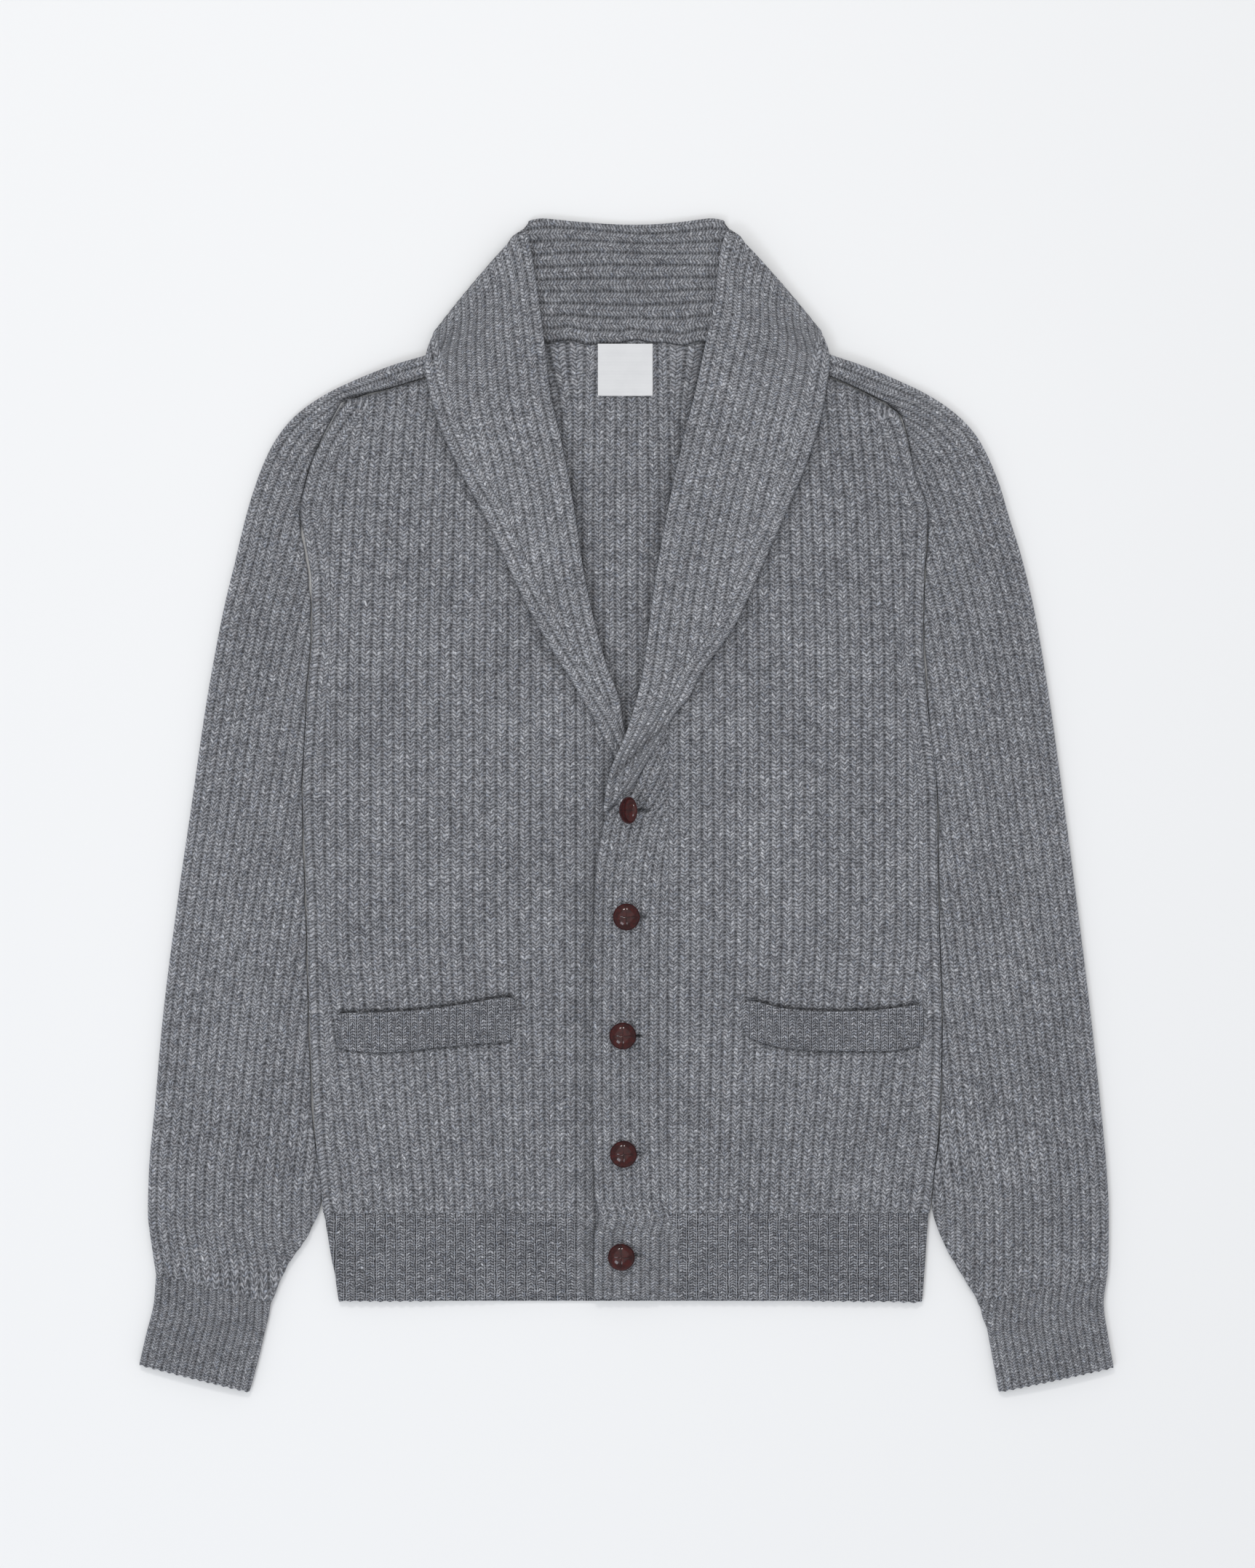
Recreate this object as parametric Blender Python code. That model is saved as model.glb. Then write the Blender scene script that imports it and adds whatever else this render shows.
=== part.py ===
"""Shawl collar cardigan in chunky rib knit, buttoned up and laid flat on its back.

The cloth lies in layers, each a wall of one thickness: the back on the surface, the fronts on the back, the
left band over the right one, and the collar's fall over the fronts. Every wall is made from a grid of points
on its middle surface. Lengths in this file are millimetres; the meshes are in metres. X runs to the wearer's
left, Y from the hem to the collar and Z up, away from the surface. Rows named left are the wearer's left, at +X.
"""

import math
from collections import namedtuple

import bpy
import numpy as np

MM = 0.001

# Shares of the way up a body panel: wide rows below the chest and closer ones at the armholes and neck.
PANEL_ROWS = np.concatenate([np.linspace(0, 0.63, 8), np.linspace(0.67, 1, 15)])

# The cloth and its layers.
WALL = 2.6
GAP = 0.3
LAYER = WALL + GAP
BACK_Z = WALL / 2
FRONT_Z = BACK_Z + LAYER
SEAM_GAP = 1.0
NECK_GAP = 2.2

# Levels along the body.
HEM_BOTTOM = -361.0
HEM_TOP = -296.5
NECK_SEAM = 337.5
COLLAR_TOP = 427.0
UNDERARM = 150.0
ARMHOLE_OPEN = 195.0
BACK_ARMHOLE_OPEN = 208.0

# Bands at the front opening.
BAND_LEFT_SEAM = 30.0
BAND_LEFT_SEAM_AT_HEM = 37.5
BAND_RIGHT_SEAM = -36.6
BAND_RIGHT_EDGE = 8.5
BAND_LEFT_TOP = 72.0
BAND_RIGHT_TOP = 100.0
BAND_TOP_WIDTH = 2.2
OVERLAP_STARTS = 12.5

# The body's side edge: the front turns down round the back's edge.
BACK_INSET = 6.0
SideFold = namedtuple("SideFold", "inset drop")
SIDE_FOLD = [
    SideFold(1.3, 2.5),
    SideFold(1.8, 1.3),
    SideFold(3.4, 0.35),
    SideFold(7.0, 0.0),
]

# Body and hem sides, where the body lies against the sleeves.
BodySide = namedtuple("BodySide", "y right_x left_x")
BODY_SIDE = [
    BodySide(-361, -208.8, 215.0),
    BodySide(-335, -213.6, 216.8),
    BodySide(-313, -217.0, 218.4),
    BodySide(-297, -220.5, 220.5),
    BodySide(-238, -226.5, 226.8),
    BodySide(-170, -230.0, 229.5),
    BodySide(-55, -233.2, 226.8),
    BodySide(10, -235.3, 225.8),
    BodySide(80, -232.1, 218.4),
    BodySide(126, -228.6, 215.7),
    BodySide(160, -229.0, 216.4),
    BodySide(190, -232.5, 217.6),
    BodySide(214, -236.5, 218.4),
]

# The armhole seam, up from the body side to the corner where the saddle strap begins.
SeamPoint = namedtuple("SeamPoint", "right_x right_y left_x left_y")
ARMHOLE = [
    SeamPoint(-236.5, 214, 218.4, 214),
    SeamPoint(-232.7, 233, 210.0, 237),
    SeamPoint(-227.0, 252, 205.8, 256),
    SeamPoint(-217.0, 272, 202.5, 270),
    SeamPoint(-201.5, 295, 196.0, 286),
]
# The saddle seam, from that corner along the strap to the neck point.
SADDLE = [
    SeamPoint(-201.5, 295.0, 196.0, 286.0),
    SeamPoint(-180.0, 299.5, 182.5, 293.8),
    SeamPoint(-166.4, 303.7, 165.9, 302.1),
    SeamPoint(-147.3, 309.5, 149.5, 309.5),
    SeamPoint(-120.0, 318.0, 120.0, 318.5),
    SeamPoint(-101.0, 324.0, 101.0, 325.0),
]
# The back's shoulder edge goes on from there to the neck seam.
BACK_NECK_CORNER = 80.0

# One row across the sleeve: its outer edge, its inner edge, how far its section is closed, its crown.
SleeveRow = namedtuple("SleeveRow", "outer_x outer_y inner_x inner_y closed crown")
SLEEVE_RIGHT = [
    SleeveRow(-343.0, -340, -258.5, -362, 1.0, 2.0),
    SleeveRow(-345.5, -324, -246.0, -334, 1.0, 2.5),
    SleeveRow(-348.8, -295, -231.0, -312, 1.0, 3.0),
    SleeveRow(-348.0, -265, -221.6, -285, 1.0, 3.5),
    SleeveRow(-344.0, -222, -228.2, -230, 1.0, 3.5),
    SleeveRow(-338.0, -155, -231.2, -160, 1.0, 3.5),
    SleeveRow(-327.5, -72, -233.6, -75, 1.0, 3.5),
    SleeveRow(-316.5, 4, -236.1, 2, 1.0, 3.5),
    SleeveRow(-306.0, 76, -233.4, 72, 1.0, 3.5),
    SleeveRow(-294.0, 141, -229.8, 136, 1.0, 3.0),
    SleeveRow(-284.5, 181, -232.2, 172, 0.8, 2.5),
    SleeveRow(-277.0, 212, -237.8, 208, 0.3, 2.0),
    SleeveRow(-267.0, 243, -234.5, 232, 0.0, 1.6),
    SleeveRow(-256.5, 265, -228.1, 254, 0.0, 1.4),
    SleeveRow(-241.0, 284, -218.3, 274, 0.0, 1.2),
    SleeveRow(-216.0, 300.8, -203.0, 297.2, 0.0, 1.0),
    SleeveRow(-194.5, 311.2, -184.0, 300.6, 0.0, 0.7),
    SleeveRow(-167.5, 321.5, -166.4, 305.0, 0.0, 0.3),
    SleeveRow(-147.0, 327.5, -147.3, 311.0, 0.0, 0.0),
    SleeveRow(-108.0, 342.0, -104.0, 325.4, 0.0, 0.0),
]
SLEEVE_LEFT = [
    SleeveRow(350.5, -343, 255.5, -360, 1.0, 2.0),
    SleeveRow(351.5, -324, 243.5, -341, 1.0, 2.5),
    SleeveRow(351.6, -296, 229.5, -316, 1.0, 3.0),
    SleeveRow(350.0, -265, 222.0, -290, 1.0, 3.5),
    SleeveRow(346.0, -222, 228.4, -230, 1.0, 3.5),
    SleeveRow(338.7, -155, 229.9, -160, 1.0, 3.5),
    SleeveRow(328.5, -72, 227.8, -75, 1.0, 3.5),
    SleeveRow(318.5, 4, 226.7, 2, 1.0, 3.5),
    SleeveRow(308.5, 76, 219.9, 72, 1.0, 3.5),
    SleeveRow(297.5, 141, 216.8, 136, 1.0, 3.0),
    SleeveRow(288.0, 181, 217.8, 172, 0.8, 2.5),
    SleeveRow(279.0, 210, 219.8, 204, 0.3, 2.0),
    SleeveRow(272.5, 232, 216.8, 223, 0.0, 1.7),
    SleeveRow(265.0, 251, 209.5, 243, 0.0, 1.5),
    SleeveRow(255.0, 269, 206.4, 260, 0.0, 1.3),
    SleeveRow(240.0, 285, 203.2, 274, 0.0, 1.2),
    SleeveRow(216.8, 300.5, 197.4, 288.6, 0.0, 1.0),
    SleeveRow(194.5, 311.1, 183.0, 295.8, 0.0, 0.7),
    SleeveRow(170.0, 321.0, 166.0, 304.2, 0.0, 0.3),
    SleeveRow(149.0, 328.0, 149.8, 311.4, 0.0, 0.0),
    SleeveRow(108.0, 343.0, 104.0, 326.4, 0.0, 0.0),
]
CUFF_RIGHT = [
    SleeveRow(-342.9, -340.5, -258.7, -362.5, 1.0, 2.0),
    SleeveRow(-344.5, -361.0, -263.0, -380.0, 1.0, 1.8),
    SleeveRow(-350.5, -386.0, -268.5, -403.0, 1.0, 1.6),
    SleeveRow(-355.3, -407.0, -274.8, -427.0, 1.0, 1.4),
]
CUFF_LEFT = [
    SleeveRow(350.3, -343.5, 255.9, -360.6, 1.0, 2.0),
    SleeveRow(348.0, -362.0, 261.5, -378.0, 1.0, 1.8),
    SleeveRow(351.2, -386.0, 266.5, -401.0, 1.0, 1.6),
    SleeveRow(355.3, -409.0, 271.3, -427.0, 1.0, 1.4),
]

# One row across the collar: the rolled edge, the free edge of the fall, the width of the stand hidden
# below it, how far the stand is raised at the roll by what it crosses, and how high the roll stands.
CollarRow = namedtuple("CollarRow", "roll_x roll_y edge_x edge_y stand rise roll")
COLLAR_RIGHT = [
    CollarRow(2.5, 46, -6.5, 31, 9, 0.0, 2.9),
    CollarRow(-1.0, 56, -12.0, 41, 11, 0.0, 2.9),
    CollarRow(-4.0, 76, -28.5, 71, 15, 0.0, 3.4),
    CollarRow(-12.7, 99, -40.5, 91, 17, 0.0, 4.2),
    CollarRow(-21.0, 127, -57.5, 118, 21, 0.0, 4.8),
    CollarRow(-30.0, 168, -77.0, 154, 27, 0.0, 5.4),
    CollarRow(-38.7, 224, -101.0, 206, 36, 0.0, 5.8),
    CollarRow(-46.5, 264, -120.0, 241, 42, 0.0, 5.8),
    CollarRow(-54.5, 299, -137.5, 280, 46, 0.0, 5.6),
    CollarRow(-59.0, 337, -144.5, 306, 42, 0.0, 5.2),
    CollarRow(-63.0, 366, -147.0, 319, 30, 0.0, 5.0),
    CollarRow(-68.0, 398, -147.5, 327, 20, 0.0, 4.4),
    CollarRow(-74.5, 420, -145.0, 337, 14, 0.0, 3.4),
]
COLLAR_LEFT = [
    CollarRow(-17.5, -6, -4.5, 3, 8, 2.9, 2.9),
    CollarRow(-16.3, 4, 7.0, 18, 14, 3.4, 3.2),
    CollarRow(-14.6, 14, 18.0, 37, 20, 5.2, 3.4),
    CollarRow(-11.5, 26, 29.0, 56, 26, 6.3, 3.6),
    CollarRow(-2.5, 47, 35.0, 66, 24, 6.3, 3.6),
    CollarRow(5.3, 72, 44.5, 77, 22, 5.4, 3.6),
    CollarRow(11.0, 95, 55.0, 97, 24, 1.4, 4.2),
    CollarRow(15.8, 130, 78.0, 129, 32, 0.0, 4.8),
    CollarRow(21.0, 168, 94.0, 163, 38, 0.0, 5.4),
    CollarRow(31.3, 224, 117.0, 215, 45, 0.0, 5.8),
    CollarRow(40.5, 265, 132.0, 251, 48, 0.0, 5.8),
    CollarRow(49.0, 299, 142.5, 287, 50, 0.0, 5.6),
    CollarRow(57.0, 337, 146.5, 310, 42, 0.0, 5.2),
    CollarRow(63.5, 366, 148.5, 321, 30, 0.0, 5.0),
    CollarRow(67.5, 398, 149.0, 329, 20, 0.0, 4.4),
    CollarRow(74.5, 420, 146.5, 338, 14, 0.0, 3.4),
]
# Behind the neck: half widths of the stand, which shows, and of the fall folded down behind it.
CollarBackRow = namedtuple("CollarBackRow", "y stand_half fall_half")
COLLAR_BACK = [
    CollarBackRow(312.0, 86.0, 140.0),
    CollarBackRow(322.0, 86.0, 144.0),
    CollarBackRow(338.0, 86.0, 141.0),
    CollarBackRow(364.0, 84.0, 122.5),
    CollarBackRow(396.0, 79.0, 95.0),
    CollarBackRow(424.0, 74.0, 75.5),
]
# The shoulders rise onto that hidden fall, from a line that slopes away from the neck. Upper layers start first.
LIFT_SLOPE = 0.55
LIFT_START = 190.0
LIFT_FULL = 224.0
FRONT_LEAD = 16.0
FALL_LEAD = 30.0
OVERLAP_LEAD = 0.35

# Pocket welts: top and bottom edges.
WeltRow = namedtuple("WeltRow", "x top bottom")
WELT_RIGHT = [
    WeltRow(-211.0, -151.5, -173.5),
    WeltRow(-207.0, -151.0, -177.0),
    WeltRow(-178.0, -150.5, -179.6),
    WeltRow(-142.0, -148.0, -176.5),
    WeltRow(-112.0, -143.5, -173.5),
    WeltRow(-84.0, -139.5, -171.5),
    WeltRow(-80.5, -140.5, -168.0),
]
WELT_LEFT = [
    WeltRow(84.5, -142.5, -165.0),
    WeltRow(88.5, -142.2, -168.5),
    WeltRow(114.0, -147.6, -176.0),
    WeltRow(150.0, -150.0, -178.6),
    WeltRow(184.0, -148.6, -178.6),
    WeltRow(211.5, -145.0, -174.8),
    WeltRow(215.5, -144.5, -171.5),
]

LABEL_WIDTH = 40.0
LABEL_HEIGHT = 38.0
LABEL_CENTRE_X = -0.8
LABEL_WALL = 0.8

# Buttons, from the collar down: centre, and the turn of its face to the wearer's right.
ButtonRow = namedtuple("ButtonRow", "x y turn")
BUTTONS = [
    ButtonRow(3.2, -3.7, 52.0),
    ButtonRow(0.0, -81.1, 0.0),
    ButtonRow(-2.6, -167.5, 0.0),
    ButtonRow(-2.1, -253.3, 0.0),
    ButtonRow(-3.7, -328.1, 0.0),
]
BUTTON_RADIUS = 9.8
BUTTON_HEIGHT = 6.6
SHANK_RADIUS = 1.8
SHANK_GAP = 0.4
SLOT_BEFORE = 2.6
SLOT_AFTER = 18.0
SLOT_HALF_AT_SHANK = 2.3
SLOT_HALF_AT_END = 0.5

# The left band's free edge, from the hem up to where the collar starts.
BandEdge = namedtuple("BandEdge", "y x")
BAND_LEFT_EDGE = [
    BandEdge(-361, -23.9),
    BandEdge(-313, -23.3),
    BandEdge(-298, -19.8),
    BandEdge(-287, -22.8),
    BandEdge(-208, -24.6),
    BandEdge(-102, -24.0),
    BandEdge(-55, -22.8),
    BandEdge(-30, -19.8),
    BandEdge(-10, -15.6),
]

KNIT_GREY = (0.205, 0.208, 0.224)
RIB_GREY = (0.180, 0.185, 0.200)
LABEL_WHITE = (0.86, 0.86, 0.85)
BUTTON_BROWN = (0.060, 0.012, 0.010)


def through(knots, values, at):
    """Points of a smooth curve with no overshoot through the rows of values, at the rising knots."""
    knots = np.asarray(knots, float)
    values = np.asarray(values, float)
    step = np.diff(knots)[:, None]
    slope = np.diff(values, axis=0) / step
    tangent = np.zeros_like(values)
    total = slope[1:] + slope[:-1]
    same = slope[1:] * slope[:-1] > 0
    tangent[1:-1] = np.where(same, 2 * slope[1:] * slope[:-1] / np.where(same, total, 1), 0)
    tangent[0] = slope[0]
    tangent[-1] = slope[-1]
    row = np.clip(np.searchsorted(knots, at, side="right") - 1, 0, len(knots) - 2)
    size = step[row]
    t = (np.asarray(at, float)[:, None] - knots[row][:, None]) / size
    start = (1 + 2 * t) * (1 - t) ** 2 * values[row] + t * (1 - t) ** 2 * size * tangent[row]
    end = t**2 * (3 - 2 * t) * values[row + 1] + t**2 * (t - 1) * size * tangent[row + 1]
    return start + end


def along(points, shares):
    """Points at these shares of the length of the curve through the given points."""
    points = np.asarray(points, float)
    chord = np.linalg.norm(np.diff(points[:, :2], axis=0), axis=1)
    knots = np.concatenate([[0.0], np.cumsum(chord)])
    return through(knots, points, np.asarray(shares) * knots[-1])


def column(table, name):
    return np.array([getattr(row, name) for row in table], float)


def at_level(table, name, y):
    """A column of a table read at the levels y, smoothly."""
    return through(column(table, "y"), column(table, name)[:, None], np.atleast_1d(y))[:, 0]


def ease(value, start, end):
    """0 at start, 1 at end and smooth between them."""
    t = np.clip((np.asarray(value, float) - start) / (end - start), 0, 1)
    return t * t * (3 - 2 * t)


def lift(x, y, lead=0.0):
    """How far the shoulders and neck are raised by the collar's fall folded down behind them."""
    return LAYER * ease(y - LIFT_SLOPE * np.abs(x) + lead, LIFT_START, LIFT_FULL)


def back_height(x, y):
    return BACK_Z + lift(x, y)


def front_height(x, y, lead=FRONT_LEAD):
    return FRONT_Z + lift(x, y, lead)


def overlap_height(x, y, lead=FRONT_LEAD):
    """Middle of the left front and band: it rises onto the right band towards the opening."""
    shift = OVERLAP_LEAD * (lead - FRONT_LEAD)
    return front_height(x, y, lead) + LAYER * ease(x - shift, BAND_LEFT_SEAM - 1, OVERLAP_STARTS)


def grid_normals(grid):
    across = np.gradient(grid, axis=1)
    up = np.gradient(grid, axis=0)
    normal = np.cross(across, up)
    return normal / np.linalg.norm(normal, axis=2, keepdims=True)


def material(name, colour, roughness):
    made = bpy.data.materials.new(name)
    made.use_nodes = True
    shader = made.node_tree.nodes["Principled BSDF"]
    shader.inputs["Base Color"].default_value = (*colour, 1)
    shader.inputs["Roughness"].default_value = roughness
    shader.inputs["Metallic"].default_value = 0
    made.diffuse_color = (*colour, 1)
    return made


def add_mesh(name, points, faces, colour, roughness):
    mesh = bpy.data.meshes.new(name)
    mesh.from_pydata([tuple(p) for p in np.asarray(points) * MM], [], faces)
    mesh.materials.append(material(name, colour, roughness))
    mesh.shade_smooth()
    mesh.set_sharp_from_angle(angle=math.radians(40))
    made = bpy.data.objects.new(name, mesh)
    bpy.context.scene.collection.objects.link(made)
    return made


def wall(name, grid, colour, thickness=WALL, open_cells=()):
    """A closed wall round a grid of middle points, rows by columns. open_cells are left out as holes."""
    rows, columns = grid.shape[:2]
    offset = grid_normals(grid) * thickness / 2
    points = np.concatenate([(grid + offset).reshape(-1, 3), (grid - offset).reshape(-1, 3)])
    below = rows * columns
    faces = []
    edges = {}
    for i in range(rows - 1):
        for j in range(columns - 1):
            if (i, j) in open_cells:
                continue
            corner = i * columns + j
            ring = [corner, corner + 1, corner + columns + 1, corner + columns]
            faces.append(ring)
            faces.append([k + below for k in reversed(ring)])
            for a, b in zip(ring, ring[1:] + ring[:1]):
                edges[a, b] = True
    for a, b in edges:
        if (b, a) not in edges:
            faces.append([b, a, a + below, b + below])
    used = sorted({k for face in faces for k in face})
    place = {k: n for n, k in enumerate(used)}
    return add_mesh(name, points[used], [[place[k] for k in face] for face in faces], colour, 0.9)


def patch(start, end, bottom, top, rows, shares):
    """A grid between four edge curves: start and end run upwards, bottom and top run from start to end."""
    start = along(start, rows)
    end = along(end, rows)
    v = np.asarray(rows)[:, None, None]
    u = np.asarray(shares)[None, :, None]
    bottom = along(bottom, shares)[None]
    top = along(top, shares)[None]
    corners = (
        (1 - u) * (1 - v) * start[0] + u * (1 - v) * end[0] + (1 - u) * v * start[-1] + u * v * end[-1]
    )
    return (1 - u) * start[:, None] + u * end[:, None] + (1 - v) * bottom + v * top - corners


def strip(levels, start_x, end_x, shares):
    """A grid between two x values at each level."""
    u = np.asarray(shares)[None, :]
    x = start_x[:, None] * (1 - u) + end_x[:, None] * u
    y = np.repeat(np.asarray(levels, float)[:, None], len(shares), axis=1)
    return np.stack([x, y], axis=2)


def raised(flat, height):
    """A grid of x and y with its middle height."""
    return np.dstack([flat, height(flat[..., 0], flat[..., 1])])


def fold_sides(grid, outline_x, amount):
    """Turns the grid's first columns down at the body's side. Its first column lies on the outline."""
    inward = np.sign(grid[:, -1, 0] - grid[:, 0, 0])
    for j, fold in enumerate(SIDE_FOLD):
        open_x = outline_x + inward * (SEAM_GAP / 2 + 2.4 * j)
        folded_x = outline_x + inward * (GAP + fold.inset)
        grid[:, j, 0] = open_x + (folded_x - open_x) * amount
        grid[:, j, 2] -= fold.drop * amount
    return grid


def side_points(side, bottom, top):
    """The body's side outline between two levels, as x and y."""
    levels = [bottom] + [r.y for r in BODY_SIDE if bottom < r.y < top] + [top]
    return np.column_stack([at_level(BODY_SIDE, side + "_x", levels), levels])


def seam_points(table, side):
    return np.column_stack([column(table, side + "_x"), column(table, side + "_y")])


def neck_line(table, gap):
    """The line under the fall where the collar's stand is sewn on, moved out by gap."""
    roll = np.column_stack([column(table, "roll_x"), column(table, "roll_y")])
    edge = np.column_stack([column(table, "edge_x"), column(table, "edge_y")])
    direction = (edge - roll) / np.linalg.norm(edge - roll, axis=1, keepdims=True)
    return roll + direction * (column(table, "stand")[:, None] + gap)


def body_columns(width, count):
    """Shares across a panel: close together in its side fold, then even."""
    folds = [fold.inset / width for fold in SIDE_FOLD]
    return np.array([0.0] + folds[1:] + list(np.linspace(folds[-1], 1, count + 1)[1:]))


def front(name, side, neck, seam_x, seam_top, height):
    """A front panel between its side and armhole, the saddle seam, the neck line and the band."""
    outer = np.concatenate([side_points(side, HEM_TOP, ARMHOLE[0].right_y)[:-1], seam_points(ARMHOLE, side)])
    inner_neck = [p for p in neck if abs(p[0]) > abs(seam_x) + 2 and p[1] < 300]
    saddle = seam_points(SADDLE, side)
    inner = np.array([[seam_x, HEM_TOP], [seam_x, 0.0], [seam_x, seam_top], *inner_neck, saddle[-1]])
    shares = body_columns(190.0, 7)
    bottom = np.array([outer[0], inner[0]])
    flat = patch(outer, inner, bottom, saddle, PANEL_ROWS, shares)
    grid = raised(flat, height)
    fold = ease(grid[:, 0, 1], ARMHOLE_OPEN, UNDERARM)
    grid = fold_sides(grid, grid[:, 0, 0].copy(), fold)
    return wall(name, grid, KNIT_GREY)


def back():
    """The back panel: sides inside the fronts' turned edges, armholes, shoulders and the neck seam."""
    edges = {}
    for side, inward in (("right", 1), ("left", -1)):
        sides = side_points(side, HEM_TOP, ARMHOLE[0].right_y)[:-1]
        shoulder = seam_points(SADDLE, side)[1:]
        top = [[-inward * BACK_NECK_CORNER, NECK_SEAM - GAP]]
        points = np.concatenate([sides, seam_points(ARMHOLE, side), shoulder, top])
        inset = BACK_INSET * ease(points[:, 1], BACK_ARMHOLE_OPEN, UNDERARM + 12) + SEAM_GAP / 2
        points[:, 0] += inward * inset
        edges[side] = points
    top = np.array([edges["right"][-1], edges["left"][-1]])
    bottom = np.array([edges["right"][0], edges["left"][0]])
    flat = patch(edges["right"], edges["left"], bottom, top, PANEL_ROWS, np.linspace(0, 1, 15))
    return wall("back", raised(flat, back_height), KNIT_GREY)


def hem_front(name, side, seam_x, height):
    levels = np.array([HEM_BOTTOM, -336.0, -312.0, -304.0, HEM_TOP - GAP])
    outer = at_level(BODY_SIDE, side + "_x", levels)
    seam = band_seam(levels) + SEAM_GAP if side == "left" else np.full(len(levels), seam_x)
    flat = strip(levels, outer, seam, body_columns(180.0, 6))
    grid = fold_sides(raised(flat, height), outer, np.ones(len(levels)))
    return wall(name, grid, RIB_GREY)


def hem_back():
    levels = np.array([HEM_BOTTOM, -340.0, -318.0, HEM_TOP - GAP])
    inset = BACK_INSET + SEAM_GAP / 2
    right = at_level(BODY_SIDE, "right_x", levels) + inset
    left = at_level(BODY_SIDE, "left_x", levels) - inset
    flat = strip(levels, right, left, np.linspace(0, 1, 12))
    return wall("hem_back", raised(flat, back_height), RIB_GREY)


def band_seam(y):
    """Where the left band is sewn to the left front and its hem."""
    return BAND_LEFT_SEAM + (BAND_LEFT_SEAM_AT_HEM - BAND_LEFT_SEAM) * ease(y, HEM_TOP, -312.0)


def slot_half_width(x, button_x):
    """A buttonhole is widest round the shank and closes towards its end."""
    return SLOT_HALF_AT_SHANK + (SLOT_HALF_AT_END - SLOT_HALF_AT_SHANK) * ease(
        x - button_x, SLOT_BEFORE, SLOT_AFTER
    )


def band_left():
    """The upper band, with an open slot for each button's shank."""
    neck = neck_line(COLLAR_LEFT, 2.3 * NECK_GAP)
    edge = [[row.x, row.y] for row in BAND_LEFT_EDGE]
    edge += [list(p) for p in neck if p[1] < BAND_LEFT_TOP - 4]
    edge.append([BAND_LEFT_SEAM - BAND_TOP_WIDTH, BAND_LEFT_TOP])
    edge = np.array(edge)
    levels = [HEM_BOTTOM, -312.0, -304.0, HEM_TOP, -210.0, -125.0, -45.0, BAND_LEFT_TOP]
    levels += [10.0, 18.0, 26.0, 35.0, 44.0, 52.0, 60.0]
    slots = {}
    for row in BUTTONS:
        for reach in (-7.0, -1.0, 1.0, 7.0):
            levels.append(row.y + reach)
        slots[row.y - 1.0] = row
    levels = np.array(sorted(levels))
    free = through(edge[:, 1], edge[:, :1], levels)[:, 0]
    shares = np.array([0.0, 0.2, 0.42, 0.55, 0.68, 0.8, 0.9, 1.0])
    grid = raised(strip(levels, free, band_seam(levels), shares), overlap_height)
    open_cells = set()
    for i, y in enumerate(levels):
        if y not in slots:
            continue
        button = slots[y]
        cut = [button.x - SLOT_BEFORE, button.x + 6.0, button.x + 12.0, button.x + SLOT_AFTER]
        for row in (i - 1, i, i + 1, i + 2):
            grid[row, 2:6, 0] = cut
        for row, way in ((i, -1), (i + 1, 1)):
            half = slot_half_width(grid[row, :, 0], button.x)
            grid[row, :, 1] = button.y + way * half
        grid[i - 1 : i + 3, :, 2] = overlap_height(grid[i - 1 : i + 3, :, 0], grid[i - 1 : i + 3, :, 1])
        open_cells |= {(i, 2), (i, 3), (i, 4)}
    return wall("band_left", grid, KNIT_GREY, open_cells=open_cells)


def band_right():
    """The lower band, which carries the buttons."""
    neck = neck_line(COLLAR_RIGHT, NECK_GAP)
    edge = [[BAND_RIGHT_EDGE, HEM_BOTTOM], [BAND_RIGHT_EDGE, -100.0], [BAND_RIGHT_EDGE, -5.0], [4.0, 18.0]]
    edge += [list(p) for p in neck if p[1] < BAND_RIGHT_TOP - 4]
    edge.append([BAND_RIGHT_SEAM + BAND_TOP_WIDTH, BAND_RIGHT_TOP])
    edge = np.array(edge)
    levels = np.array([HEM_BOTTOM, -300, -220, -140, -60, -5, 12, 25, 40, 55, 75, 90, BAND_RIGHT_TOP])
    free = through(edge[:, 1], edge[:, :1], levels)[:, 0]
    seam = np.full(len(levels), BAND_RIGHT_SEAM + GAP)
    grid = raised(strip(levels, seam, free, np.linspace(0, 1, 5)), front_height)
    return wall("band_right", grid, KNIT_GREY)


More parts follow.
